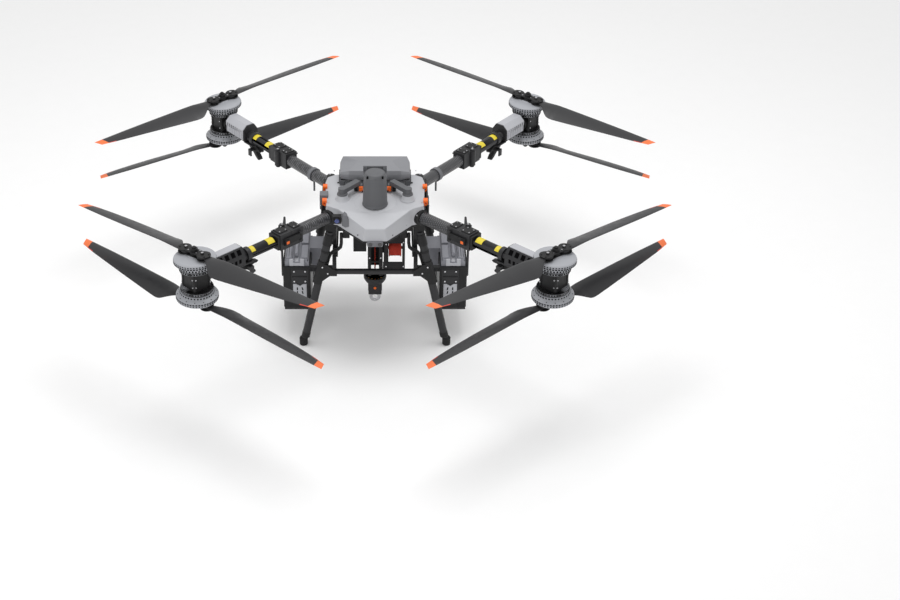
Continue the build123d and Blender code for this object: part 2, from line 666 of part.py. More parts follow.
bay = CRADLE_WALL + BATTERY_GAP
pack_floor = floor_z + CRADLE_WALL + BATTERY_REST
pack_solid = block((low_x + bay, high_x - bay), (low_y + bay, high_y - bay), (pack_floor, BATTERY_TOP))
saddle_x = (low_x - BATTERY_GAP - 1, low_x + bay + 1)
pack_solid += block(saddle_x, (-PLUG_Y, PLUG_Y), (rim_z + BATTERY_GAP, BATTERY_TOP))
pack_solid += block(
    (low_x - PLUG_WIDTH - BATTERY_GAP, low_x - BATTERY_GAP), (-PLUG_Y, PLUG_Y), (PLUG_FLOOR, BATTERY_TOP)
)
for y in (low_y + 50, high_y - 50):
    pack_solid += block((low_x + 62, low_x + 76), (y - 8, y + 8), (BATTERY_TOP - 1, BATTERY_TOP + 26))
pack_solid += rod(
    (low_x + 69, low_y + 34, BATTERY_TOP + 26), (low_x + 69, high_y - 34, BATTERY_TOP + 26), 9
)
add("battery_right", pack_solid)
add("battery_left", mirror(pack_solid, Plane.YZ))


# ---------------------------------------------------------------- winch and hook

winch_roof = AVIONICS_FLOOR
winch = block((-36, -20), (WINCH_Y - 60, WINCH_Y + 60), (WINCH_FLOOR, winch_roof))
winch += block((20, 38), (WINCH_Y - 60, WINCH_Y + 60), (WINCH_FLOOR, winch_roof))
winch += block((-36, 38), (WINCH_Y + 48, WINCH_Y + 60), (WINCH_FLOOR, winch_roof))
for x in (DRUM_X[0] - 14, DRUM_X[1] + 8):
    winch += block((x, x + 6), (WINCH_Y - 56, WINCH_Y + 56), (DRUM_FRAME_FLOOR, winch_roof))
winch += block((37, DRUM_X[0] - 13), (WINCH_Y - 20, WINCH_Y + 20), (DRUM_Z - 20, winch_roof))
winch += block((DRUM_X[0] - 14, DRUM_X[1] + 14), (WINCH_Y - 56, WINCH_Y + 56), (winch_roof - 12, winch_roof))
winch -= along_x(SHAFT_R + RUN_GAP, DRUM_X[0] - 20, DRUM_X[1] + 20, WINCH_Y, DRUM_Z)
add("winch_frame", winch)
add("winch_frame", block((-core_x, -44), (WINCH_Y - 60, WINCH_Y + 30), (WINCH_GEAR_FLOOR, winch_roof)))

drum = along_x(DRUM_R, DRUM_X[0], DRUM_X[1], WINCH_Y, DRUM_Z)
for x in (DRUM_X[0], DRUM_X[1] - DRUM_FLANGE[1]):
    drum += along_x(DRUM_FLANGE[0], x, x + DRUM_FLANGE[1], WINCH_Y, DRUM_Z)
drum += along_x(SHAFT_R, DRUM_X[0] - 12, DRUM_X[1] + 16, WINCH_Y, DRUM_Z)
add("winch_drum", drum)
add("winch_rope", disc(ROPE_R, HOOK_TOP, winch_roof, 0, WINCH_Y))

hook = disc(HOOK_FLANGE_R, HOOK_TOP - 16, HOOK_TOP, 0, WINCH_Y)
hook += block(
    (-HOOK_BODY_HALF, HOOK_BODY_HALF), (WINCH_Y - 26, WINCH_Y + 26), (HOOK_BODY_FLOOR, HOOK_TOP - 10)
)
add("hook_body", hook)
shackle = block(
    (-SHACKLE_HALF, SHACKLE_HALF),
    (WINCH_Y - SHACKLE_T / 2, WINCH_Y + SHACKLE_T / 2),
    (SHACKLE_FLOOR + SHACKLE_HALF, HOOK_BODY_FLOOR),
)
eye_z = SHACKLE_FLOOR + SHACKLE_HALF
shackle += rod(
    (0, WINCH_Y - SHACKLE_T / 2, eye_z), (0, WINCH_Y + SHACKLE_T / 2, eye_z), SHACKLE_HALF
)
shackle -= rod((0, WINCH_Y - SHACKLE_T, eye_z), (0, WINCH_Y + SHACKLE_T, eye_z), SHACKLE_EYE_R)
shackle -= block(
    (-SHACKLE_HALF, SHACKLE_HALF),
    (WINCH_Y - SHACKLE_T, WINCH_Y + SHACKLE_T),
    (HOOK_BODY_FLOOR, HOOK_BODY_FLOOR + SHACKLE_HALF),
)
add("hook_shackle", shackle)


# ---------------------------------------------------------------- camera and sensors

camera_mid_y = sum(CAMERA_Y) / 2
mount_y = (CAMERA_Y[0] + 6, CAMERA_Y[1] + 30)
arm_mount = block((CAMERA_X[1] + 1, -120), mount_y, (CAMERA_Z - 14, CAMERA_Z + 14)) - shell
arm_mount = max(arm_mount.solids(), key=lambda piece: piece.center().X * -1)
arm_mount += along_x(4, CAMERA_X[1] - 10, CAMERA_X[1] + 2, camera_mid_y, CAMERA_Z)
add("camera_bracket", arm_mount)
head = block(CAMERA_X, CAMERA_Y, (CAMERA_Z - CAMERA_HALF_HEIGHT, CAMERA_Z + CAMERA_HALF_HEIGHT))
lens_x = sum(CAMERA_X) / 2
head += rod((lens_x, CAMERA_Y[0] + 1, CAMERA_Z), (lens_x, CAMERA_Y[0] - 8, CAMERA_Z), LENS_R)
head -= along_x(4 + RUN_GAP, CAMERA_X[1] - 11, CAMERA_X[1] + 1, camera_mid_y, CAMERA_Z)
add("camera_head", head)

deck_underside = DECK_Z - DECK_T
add("sensor_modules", block((-37, 37), (NOSE_Y + 6, NOSE_Y + 46), (deck_underside - 26, deck_underside)))
radio = block((-272, -230), (-190, -142), (735, 815)) - shell
add("sensor_modules", min(radio.solids(), key=lambda piece: piece.center().X))
for corner in ("rear_left", "rear_right"):
    frame, side, heading, inner_length = arm_place(corner)
    ring = rod((-278, 0, 0), (-256, 0, 0), INNER_TUBE_R + 6)
    ring += disc(5, -INNER_TUBE_R - 64, -INNER_TUBE_R - 3, -267)
    ring -= rod((-279, 0, 0), (-255, 0, 0), INNER_TUBE_R)
    add("sensor_modules", frame * ring)


os.makedirs("parts", exist_ok=True)
for node, solids in nodes.items():
    body = solids[0] if len(solids) == 1 else Compound(children=solids)
    export_step(body, f"parts/{node}.step")
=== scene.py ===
"""A folding coaxial cargo drone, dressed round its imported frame. Metres, +Z up, nose towards -Y."""
import json
import math

import bmesh
import bpy
from mathutils import Matrix, Vector


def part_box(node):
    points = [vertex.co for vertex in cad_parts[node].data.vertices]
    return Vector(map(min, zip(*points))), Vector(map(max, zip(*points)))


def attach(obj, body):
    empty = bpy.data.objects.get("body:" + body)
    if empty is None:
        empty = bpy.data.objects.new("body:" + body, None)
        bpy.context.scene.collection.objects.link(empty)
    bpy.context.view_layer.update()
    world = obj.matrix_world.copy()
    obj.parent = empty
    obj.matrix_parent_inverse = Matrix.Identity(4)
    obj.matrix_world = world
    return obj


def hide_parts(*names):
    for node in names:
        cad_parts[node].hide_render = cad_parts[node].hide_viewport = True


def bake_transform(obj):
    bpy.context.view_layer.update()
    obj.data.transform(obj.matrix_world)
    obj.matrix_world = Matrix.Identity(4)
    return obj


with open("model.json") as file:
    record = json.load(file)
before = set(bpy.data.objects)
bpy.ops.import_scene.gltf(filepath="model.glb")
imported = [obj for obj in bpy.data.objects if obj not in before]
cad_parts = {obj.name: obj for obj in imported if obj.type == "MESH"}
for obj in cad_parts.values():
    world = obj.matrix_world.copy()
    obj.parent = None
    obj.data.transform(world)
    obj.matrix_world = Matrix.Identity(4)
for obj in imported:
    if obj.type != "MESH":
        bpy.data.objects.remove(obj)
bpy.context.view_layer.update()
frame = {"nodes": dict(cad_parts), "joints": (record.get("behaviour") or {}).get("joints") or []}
JOINTS = {joint["name"]: joint for joint in frame["joints"]}
AIRFRAME = "airframe"
CORNERS = ("front_left", "front_right", "rear_left", "rear_right")
# Seen from above, +1 turns anticlockwise; the lower rotor of a pair turns the other way.
UPPER_SPIN = {"front_left": 1, "front_right": -1, "rear_left": -1, "rear_right": 1}
MM = 0.001


# ---------------------------------------------------------------- materials


def linear(red, green, blue):
    """An sRGB colour, 0 to 255, as linear RGBA."""
    values = []
    for value in (red, green, blue):
        value /= 255
        values.append(value / 12.92 if value <= 0.04045 else ((value + 0.055) / 1.055) ** 2.4)
    return (*values, 1.0)


class Finish:
    """A material under construction: its node tree, with small helpers."""

    def __init__(self, name):
        self.material = bpy.data.materials.new(name)
        self.material.use_nodes = True
        self.nodes = self.material.node_tree.nodes
        self.links = self.material.node_tree.links
        self.shader = self.nodes["Principled BSDF"]
        self.place = self.nodes.new("ShaderNodeTexCoord").outputs["Object"]

    def link(self, source, target):
        self.links.new(source, target)

    def noise(self, scale, detail=3.0, source=None):
        node = self.nodes.new("ShaderNodeTexNoise")
        node.inputs["Scale"].default_value = scale
        node.inputs["Detail"].default_value = detail
        self.link(source or self.place, node.inputs["Vector"])
        return node.outputs["Fac"]

    def spread(self, source, low, high):
        node = self.nodes.new("ShaderNodeMapRange")
        node.inputs["From Min"].default_value = 0.3
        node.inputs["From Max"].default_value = 0.7
        node.inputs["To Min"].default_value = low
        node.inputs["To Max"].default_value = high
        self.link(source, node.inputs["Value"])
        return node.outputs["Result"]

    def mix(self, factor, first, second):
        node = self.nodes.new("ShaderNodeMix")
        node.data_type = "RGBA"
        self.link(factor, node.inputs["Factor"])
        for socket, value in ((node.inputs[6], first), (node.inputs[7], second)):
            if isinstance(value, tuple):
                socket.default_value = value
            else:
                self.link(value, socket)
        return node.outputs[2]

    def bump(self, height, strength, distance):
        node = self.nodes.new("ShaderNodeBump")
        node.inputs["Strength"].default_value = strength
        node.inputs["Distance"].default_value = distance
        self.link(height, node.inputs["Height"])
        self.link(node.outputs["Normal"], self.shader.inputs["Normal"])


def shade(colour, share):
    """A colour made darker or lighter by a share."""
    return (*[min(1.0, value * share) for value in colour[:3]], 1.0)


def moulded(
    name, colour, rough=0.5, grain=0.12, metallic=0.0, coat=0.0, contrast=0.08, grain_scale=1400, shine=0.5
):
    """Moulded or painted surface: fine grain, slow mottling and uneven gloss."""
    finish = Finish(name)
    patches = finish.noise(9.0, 4.0)
    finish.link(
        finish.mix(patches, shade(colour, 1 - contrast), shade(colour, 1 + contrast)),
        finish.shader.inputs["Base Color"],
    )
    finish.link(
        finish.spread(finish.noise(38.0), rough - 0.05, rough + 0.07), finish.shader.inputs["Roughness"],
    )
    finish.shader.inputs["Metallic"].default_value = metallic
    finish.shader.inputs["Coat Weight"].default_value = coat
    finish.shader.inputs["Coat Roughness"].default_value = 0.25
    finish.shader.inputs["Specular IOR Level"].default_value = shine
    finish.bump(finish.noise(grain_scale, 2.0), grain, 0.0004)
    return finish.material


def carbon(name, heading):
    """Twill carbon under clear lacquer, with the weave laid along one heading."""
    finish = Finish(name)
    turn = finish.nodes.new("ShaderNodeMapping")
    turn.inputs["Rotation"].default_value = (0, 0, -heading)
    finish.link(finish.place, turn.inputs["Vector"])
    bands = []
    for direction, scale in (("DIAGONAL", 46.0), ("X", 30.0)):
        wave = finish.nodes.new("ShaderNodeTexWave")
        wave.bands_direction = direction
        wave.inputs["Scale"].default_value = scale
        wave.inputs["Distortion"].default_value = 0.4
        finish.link(turn.outputs["Vector"], wave.inputs["Vector"])
        bands.append(wave.outputs["Fac"])
    weave = finish.nodes.new("ShaderNodeMath")
    weave.operation = "MULTIPLY"
    finish.link(bands[0], weave.inputs[0])
    finish.link(bands[1], weave.inputs[1])
    finish.link(
        finish.mix(weave.outputs[0], linear(26, 26, 28), linear(104, 104, 108)),
        finish.shader.inputs["Base Color"],
    )
    finish.shader.inputs["Roughness"].default_value = 0.42
    finish.shader.inputs["Coat Weight"].default_value = 0.35
    finish.shader.inputs["Coat Roughness"].default_value = 0.3
    finish.bump(weave.outputs[0], 0.1, 0.0003)
    return finish.material


def braided(name, colour):
    """Braided rope: a fine herringbone of light and dark strands."""
    finish = Finish(name)
    wave = finish.nodes.new("ShaderNodeTexWave")
    wave.bands_direction = "DIAGONAL"
    wave.inputs["Scale"].default_value = 90.0
    wave.inputs["Distortion"].default_value = 2.0
    finish.link(finish.place, wave.inputs["Vector"])
    finish.link(
        finish.mix(wave.outputs["Fac"], shade(colour, 0.6), shade(colour, 1.25)),
        finish.shader.inputs["Base Color"],
    )
    finish.shader.inputs["Roughness"].default_value = 0.8
    finish.bump(wave.outputs["Fac"], 0.5, 0.0008)
    return finish.material


SHELL = moulded("shell_grey", linear(176, 177, 181), 0.48, 0.10, contrast=0.02)
DOME = moulded("dome_grey", linear(88, 89, 92), 0.5, 0.15, contrast=0.04)
LID = moulded("lid_grey", linear(128, 129, 133), 0.5, 0.15, contrast=0.04)
LID_DARK = moulded("lid_recess_grey", linear(84, 85, 88), 0.55, 0.15, contrast=0.04)
MOTOR = moulded("motor_grey", linear(160, 162, 167), 0.45, 0.08, coat=0.1, contrast=0.03)
BLACK = moulded("moulded_black", linear(24, 24, 25), 0.5, 0.2, shine=0.32)
HOUSING = moulded("housing_black", linear(38, 38, 40), 0.46, 0.18, shine=0.38)
# Near-black, matt and almost without gloss: painted shade standing in for the shade inside vents, slots,
# grooves and gaps.
PAINTED_SHADE_SLOT = moulded("slot_painted_shade", linear(7, 7, 8), 0.9, 0.1, shine=0.05)
BLADE = moulded("blade_composite", linear(40, 40, 42), 0.4, 0.1, coat=0.1, contrast=0.14, shine=0.42)
BLADE_TIP = moulded("blade_tip_orange", linear(240, 118, 62), 0.5, 0.08, contrast=0.03)
ORANGE = moulded("orange_plastic", linear(240, 104, 14), 0.42, 0.1, contrast=0.04)
YELLOW = moulded("yellow_label", linear(220, 200, 52), 0.45, 0.05, contrast=0.05)
RED_MARK = moulded("red_mark", linear(196, 62, 48), 0.5, 0.05)
STEEL = moulded("bright_steel", linear(205, 205, 208), 0.26, 0.06, metallic=1.0, contrast=0.05)
BRASS = moulded("contact_gold", linear(214, 168, 90), 0.3, 0.06, metallic=1.0, contrast=0.05)
RUBBER = moulded("foot_rubber", linear(20, 20, 21), 0.85, 0.35, grain_scale=700)
BATTERY = moulded("battery_grey", linear(134, 135, 142), 0.5, 0.14, contrast=0.05)
BATTERY_LIGHT = moulded("battery_trim_grey", linear(176, 177, 182), 0.48, 0.12, contrast=0.04)
MODULE = moulded("module_grey", linear(104, 105, 109), 0.5, 0.14, contrast=0.05)
LENS = moulded("lens_blue", (0.008, 0.03, 0.20, 1.0), 0.08, 0.0, coat=1.0, contrast=0.6)
DARK_GLASS = moulded("dark_glass", (0.006, 0.006, 0.008, 1.0), 0.08, 0.0, coat=1.0, contrast=0.3)
ROPE = braided("red_rope", linear(196, 62, 44))

# ---------------------------------------------------------------- shapes


def add_object(name, mesh):
    obj = bpy.data.objects.new(name, mesh)
    bpy.context.scene.collection.objects.link(obj)
    return obj


def piece(name, mesh, material, body, bevel=0.0, node=None, segments=2, crease=35):
    """A finished piece: material, rounded edges, smooth shading, and the body it rides on."""
    if material is not None:
        mesh.materials.clear()
        mesh.materials.append(material)
    mesh.shade_smooth()
    obj = add_object(name, mesh)
    if bevel:
        edge = obj.modifiers.new("rounded_edges", "BEVEL")
        edge.width = bevel
        edge.segments = segments
        edge.limit_method = "ANGLE"
        edge.angle_limit = math.radians(crease)
        edge.use_clamp_overlap = True
        normals = obj.modifiers.new("flat_faces", "WEIGHTED_NORMAL")
        normals.keep_sharp = True
    else:
        mesh.set_sharp_from_angle(angle=math.radians(crease))
    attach(obj, body)
    if node:
        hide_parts(node)
    return obj


def mesh_from(name, verts, faces, matrix=None, merge=0.0):
    """A mesh from points and faces, with its normals turned outward."""
    mesh = bpy.data.meshes.new(name)
    mesh.from_pydata([tuple(v) for v in verts], [], faces)
    work = bmesh.new()
    work.from_mesh(mesh)
    if merge:
        bmesh.ops.remove_doubles(work, verts=work.verts, dist=merge)
    bmesh.ops.recalc_face_normals(work, faces=work.faces)
    work.to_mesh(mesh)
    work.free()
    if matrix is not None:
        place_mesh(mesh, matrix)
    return mesh


def place_mesh(mesh, matrix):
    mesh.transform(matrix)
    if matrix.determinant() < 0:
        mesh.flip_normals()
    mesh.update()


def joined(name, meshes):
    """Several meshes as one, keeping their materials."""
    work = bmesh.new()
    materials = []
    for mesh in meshes:
        first = len(work.faces)
        work.from_mesh(mesh)
        work.faces.ensure_lookup_table()
        own = list(mesh.materials)
        for face in work.faces[first:]:
            material = own[face.material_index] if own else None
            if material not in materials:
                materials.append(material)
            face.material_index = materials.index(material)
    result = bpy.data.meshes.new(name)
    work.to_mesh(result)
    work.free()
    for material in materials:
        result.materials.append(material)
    return result


def slab(outline, low, high, matrix=None, name="slab"):
    """An outline in X and Y given a thickness along Z."""
    count = len(outline)
    verts = [(x, y, low) for x, y in outline] + [(x, y, high) for x, y in outline]
    faces = [tuple(reversed(range(count))), tuple(range(count, 2 * count))]
    faces += [(i, (i + 1) % count, count + (i + 1) % count, count + i) for i in range(count)]
    return mesh_from(name, verts, faces, matrix)


def brick(x, y, z, matrix=None, name="brick"):
    """A box between two values on each axis."""
    outline = [(x[0], y[0]), (x[1], y[0]), (x[1], y[1]), (x[0], y[1])]
    return slab(outline, z[0], z[1], matrix, name)


def lathe(profile, steps=64, matrix=None, name="turned"):
    """A closed profile of (radius, height) turned about Z."""
    verts = []
    faces = []
    count = len(profile)
    for step in range(steps):
        angle = 2 * math.pi * step / steps
        verts += [(r * math.cos(angle), r * math.sin(angle), z) for r, z in profile]
    for step in range(steps):
        here = step * count
        there = (step + 1) % steps * count
        faces += [(here + i, there + i, there + i + 1, here + i + 1) for i in range(count - 1)]
    return mesh_from(name, verts, faces, matrix, merge=1e-6)


def lofted(rings, matrix=None, name="lofted"):
    """A closed skin over rings of equal length, with flat ends."""
    count = len(rings[0])
    verts = [point for ring in rings for point in ring]
    faces = [tuple(reversed(range(count)))]
    for level in range(len(rings) - 1):
        low = level * count
        high = low + count
        faces += [(low + i, low + (i + 1) % count, high + (i + 1) % count, high + i) for i in range(count)]
    last = (len(rings) - 1) * count
    faces.append(tuple(range(last, last + count)))
    return mesh_from(name, verts, faces, matrix)


def pipe(points, radius, sides=12, matrix=None, name="pipe"):
    """A round bar that follows points with mitred corners."""
    path = [Vector(point) for point in points]
    rings = []
    side = None
    for index, point in enumerate(path):
        back = (point - path[index - 1]).normalized() if index else None
        ahead = (path[index + 1] - point).normalized() if index + 1 < len(path) else None
        along = ((back or ahead) + (ahead or back)).normalized()
        if side is None:
            side = along.orthogonal().normalized()
        side = (side - along * side.dot(along)).normalized()
        other = along.cross(side)
        stretch = 1 / max(0.5, along.dot(ahead or back))
        ring = []
        for step in range(sides):
            angle = 2 * math.pi * step / sides
            ring.append(point + (side * math.cos(angle) + other * math.sin(angle)) * radius * stretch)
        rings.append(ring)
    return lofted(rings, matrix, name)


def islands(node):
    """The separate solids of a CAD node as clean meshes, largest first."""
    source = bmesh.new()
    source.from_mesh(frame["nodes"][node].data)
    bmesh.ops.remove_doubles(source, verts=source.verts, dist=2e-6)
    bmesh.ops.dissolve_limit(
        source, angle_limit=math.radians(0.6), verts=source.verts, edges=source.edges,
        use_dissolve_boundaries=False,
    )
    source.verts.ensure_lookup_table()
    seen = set()
    groups = []
    for start in source.verts:
        if start.index in seen:
            continue
        stack = [start]
        seen.add(start.index)
        group = []
        while stack:
            vert = stack.pop()
            group.append(vert)
            for edge in vert.link_edges:
                other = edge.other_vert(vert)
                if other.index not in seen:
                    seen.add(other.index)
                    stack.append(other)
        groups.append(group)
    meshes = []
    for number, group in enumerate(groups):
        index = {vert.index: i for i, vert in enumerate(group)}
        faces = {face for vert in group for face in vert.link_faces}
        mesh = bpy.data.meshes.new(f"{node}_solid_{number}")
        ordered = sorted(faces, key=lambda face: face.index)
        mesh.from_pydata(
            [vert.co[:] for vert in group], [],
            [[index[vert.index] for vert in face.verts] for face in ordered],
        )
        mesh.update()
        meshes.append(mesh)
    source.free()
    return sorted(meshes, key=lambda mesh: -mesh_volume(mesh))


def mesh_volume(mesh):
    work = bmesh.new()
    work.from_mesh(mesh)
    volume = abs(work.calc_volume())
    work.free()
    return volume


def centre_of(mesh):
    total = Vector()
    for vert in mesh.vertices:
        total += vert.co
    return total / len(mesh.vertices)


# ---------------------------------------------------------------- geometry nodes


def new_tree(name, inputs):
    """An empty Geometry Nodes tree with named inputs, its input node and its output node."""
    group = bpy.data.node_groups.new(name, "GeometryNodeTree")
    group.interface.new_socket("Geometry", in_out="INPUT", socket_type="NodeSocketGeometry")
    for label, kind in inputs:
        group.interface.new_socket(label, in_out="INPUT", socket_type=kind)
    group.interface.new_socket("Geometry", in_out="OUTPUT", socket_type="NodeSocketGeometry")
    return group, group.nodes.new("NodeGroupInput"), group.nodes.new("NodeGroupOutput")


def close_tree(group, source, instances, output):
    """Realize Instances and Set Material, then the output."""
    real = group.nodes.new("GeometryNodeRealizeInstances")
    paint = group.nodes.new("GeometryNodeSetMaterial")
    group.links.new(instances, real.inputs["Geometry"])
    group.links.new(real.outputs["Geometry"], paint.inputs["Geometry"])
    group.links.new(source.outputs["Material"], paint.inputs["Material"])
    group.links.new(paint.outputs["Geometry"], output.inputs["Geometry"])


def ring_tree():
    """Blocks set round a circle in the XY plane, each with its X along the radius."""
    group, source, output = new_tree(
        "ring_of_blocks",
        [("Count", "NodeSocketInt"), ("Radius", "NodeSocketFloat"), ("Size", "NodeSocketVector"),
         ("Material", "NodeSocketMaterial")],
    )
    nodes, links = group.nodes, group.links
    circle = nodes.new("GeometryNodeMeshCircle")
    block = nodes.new("GeometryNodeMeshCube")
    place = nodes.new("GeometryNodeInstanceOnPoints")
    position = nodes.new("GeometryNodeInputPosition")
    align = nodes.new("FunctionNodeAlignRotationToVector")
    align.axis = "X"
    align.pivot_axis = "Z"
    links.new(source.outputs["Count"], circle.inputs["Vertices"])
    links.new(source.outputs["Radius"], circle.inputs["Radius"])
    links.new(source.outputs["Size"], block.inputs["Size"])
    links.new(position.outputs["Position"], align.inputs["Vector"])
    links.new(circle.outputs["Mesh"], place.inputs["Points"])
    links.new(block.outputs["Mesh"], place.inputs["Instance"])
    links.new(align.outputs["Rotation"], place.inputs["Rotation"])
    close_tree(group, source, place.outputs["Instances"], output)
    return group


def heads_tree():
    """Round or six-sided bolt heads on the points of the input mesh, standing along one axis."""
    group, source, output = new_tree(
        "bolt_heads",
        [("Sides", "NodeSocketInt"), ("Radius", "NodeSocketFloat"), ("Height", "NodeSocketFloat"),
         ("Axis", "NodeSocketVector"), ("Material", "NodeSocketMaterial")],
    )
    nodes, links = group.nodes, group.links
    head = nodes.new("GeometryNodeMeshCylinder")
    place = nodes.new("GeometryNodeInstanceOnPoints")
    align = nodes.new("FunctionNodeAlignRotationToVector")
    align.axis = "Z"
    links.new(source.outputs["Sides"], head.inputs["Vertices"])
    links.new(source.outputs["Radius"], head.inputs["Radius"])
    links.new(source.outputs["Height"], head.inputs["Depth"])
    links.new(source.outputs["Axis"], align.inputs["Vector"])
    links.new(source.outputs["Geometry"], place.inputs["Points"])
    links.new(head.outputs["Mesh"], place.inputs["Instance"])
    links.new(align.outputs["Rotation"], place.inputs["Rotation"])
    close_tree(group, source, place.outputs["Instances"], output)
    return group


def rows_tree():
    """A grid of equal blocks in the XZ plane, centred on the origin."""
    group, source, output = new_tree(
        "rows_of_blocks",
        [("Columns", "NodeSocketInt"), ("Rows", "NodeSocketInt"), ("Width", "NodeSocketFloat"),
         ("Rise", "NodeSocketFloat"), ("Size", "NodeSocketVector"), ("Material", "NodeSocketMaterial")],
    )
    nodes, links = group.nodes, group.links
    grid = nodes.new("GeometryNodeMeshGrid")
    turn = nodes.new("GeometryNodeTransform")
    turn.inputs["Rotation"].default_value = (math.pi / 2, 0, 0)
    block = nodes.new("GeometryNodeMeshCube")
    place = nodes.new("GeometryNodeInstanceOnPoints")
    links.new(source.outputs["Columns"], grid.inputs["Vertices X"])
    links.new(source.outputs["Rows"], grid.inputs["Vertices Y"])
    links.new(source.outputs["Width"], grid.inputs["Size X"])
    links.new(source.outputs["Rise"], grid.inputs["Size Y"])
    links.new(source.outputs["Size"], block.inputs["Size"])
    links.new(grid.outputs["Mesh"], turn.inputs["Geometry"])
    links.new(turn.outputs["Geometry"], place.inputs["Points"])
    links.new(block.outputs["Mesh"], place.inputs["Instance"])
    close_tree(group, source, place.outputs["Instances"], output)
    return group


RING = ring_tree()
HEADS = heads_tree()
ROWS = rows_tree()


def grow(tree, points=(), matrix=None, **values):
    """Run a tree once and keep its result as a plain mesh."""
    base = bpy.data.meshes.new("grown")
    base.from_pydata([tuple(point) for point in points], [], [])
    carrier = add_object("carrier", base)
    modifier = carrier.modifiers.new("grow", "NODES")
    modifier.node_group = tree
    for item in tree.interface.items_tree:
        if item.in_out == "INPUT" and item.name in values:
            modifier[item.identifier] = values[item.name]
    graph = bpy.context.evaluated_depsgraph_get()
    mesh = bpy.data.meshes.new_from_object(carrier.evaluated_get(graph), depsgraph=graph)
    carrier.modifiers.remove(modifier)
    bpy.data.objects.remove(carrier)
    bpy.data.meshes.remove(base)
    if matrix is not None:
        place_mesh(mesh, matrix)
    return mesh


def ring(count, radius, size, material, matrix):
    return grow(RING, matrix=matrix, Count=count, Radius=radius, Size=size, Material=material)


def heads(points, radius, height, material, matrix=None, axis=(0, 0, 1), sides=12):
    return grow(
        HEADS, points, matrix, Sides=sides, Radius=radius, Height=height, Axis=axis, Material=material
    )


def rows(columns, levels, width, rise, size, material, matrix):
    return grow(
        ROWS, matrix=matrix, Columns=columns, Rows=levels, Width=width, Rise=rise, Size=size,
        Material=material,
    )


# ---------------------------------------------------------------- places


HINGE_TO_HUB = 0.552
PIN_OFFSET = 0.034


def basis(x_axis, y_axis, z_axis, origin):
    matrix = Matrix((x_axis, y_axis, z_axis)).transposed().to_4x4()
    matrix.translation = origin
    return matrix


# Stands an outline across an arm, with its thickness along the arm.
ACROSS_ARM = basis(Vector((0, 1, 0)), Vector((0, 0, 1)), Vector((1, 0, 0)), Vector())


def arm_matrix(corner):
    """An arm's frame at its fold line: X outward along the arm. Also +1 where +Y is the fold side."""
    fold = JOINTS[f"arm_fold_{corner}"]
    side = fold["axis"][2]
    pin = Vector(fold["pos_m"])
    hub = Vector(JOINTS[f"spin_upper_{corner}"]["pos_m"])
    run = (hub - pin) * Vector((1, 1, 0))
    along = Matrix.Rotation(side * math.atan2(PIN_OFFSET, HINGE_TO_HUB), 3, "Z") @ run.normalized()
    across = Vector((0, 0, 1)).cross(along)
    foot = pin - across * side * PIN_OFFSET
    return basis(along, across, Vector((0, 0, 1)), foot), side


def rotor_matrix(level, corner):
    """A rotor's frame in its blade plane: X along blade a, Z along its leaning axis."""
    spin = JOINTS[f"spin_{level}_{corner}"]
    centre = Vector(spin["pos_m"])
    axis = Vector(spin["axis"]).normalized()
    pivot = Vector(JOINTS[f"fold_{level}_{corner}_a"]["pos_m"])
    along = (pivot - centre).normalized()
    return basis(along, axis.cross(along), axis, centre)


def smooth_value(table, position):
    """A value read from a table of (position, value) rows, straight between rows."""
    for (x0, v0), (x1, v1) in zip(table, table[1:]):
        if position <= x1:
            share = max(0.0, (position - x0) / (x1 - x0))
            return v0 + (v1 - v0) * share
    return table[-1][1]


# ---------------------------------------------------------------- blades

BLADE_TIP_R = 0.7875
LEADING = ((0.060, 0.019), (0.118, 0.021), (0.175, 0.024), (0.45, 0.023), (0.60, 0.021), (BLADE_TIP_R, 0.015))
TRAILING = (
    (0.060, -0.019), (0.084, -0.020), (0.104, -0.031), (0.130, -0.052), (0.155, -0.073), (0.172, -0.084),
    (0.190, -0.0885), (0.215, -0.0875), (0.30, -0.080), (0.45, -0.066), (0.60, -0.050), (0.72, -0.036),
    (BLADE_TIP_R, -0.026),
)
THICKNESS = ((0.060, 0.011), (0.175, 0.0105), (0.30, 0.0088), (0.60, 0.0056), (BLADE_TIP_R, 0.0026))
PITCH = (
    (0.060, 0.0), (0.092, 0.0), (0.130, 8.0), (0.175, 17.0), (0.215, 19.0), (0.30, 17.5), (0.45, 13.5),
    (0.60, 10.0), (BLADE_TIP_R, 6.0),
)
TIP_START = 0.744
SECTION_SIDES = 20


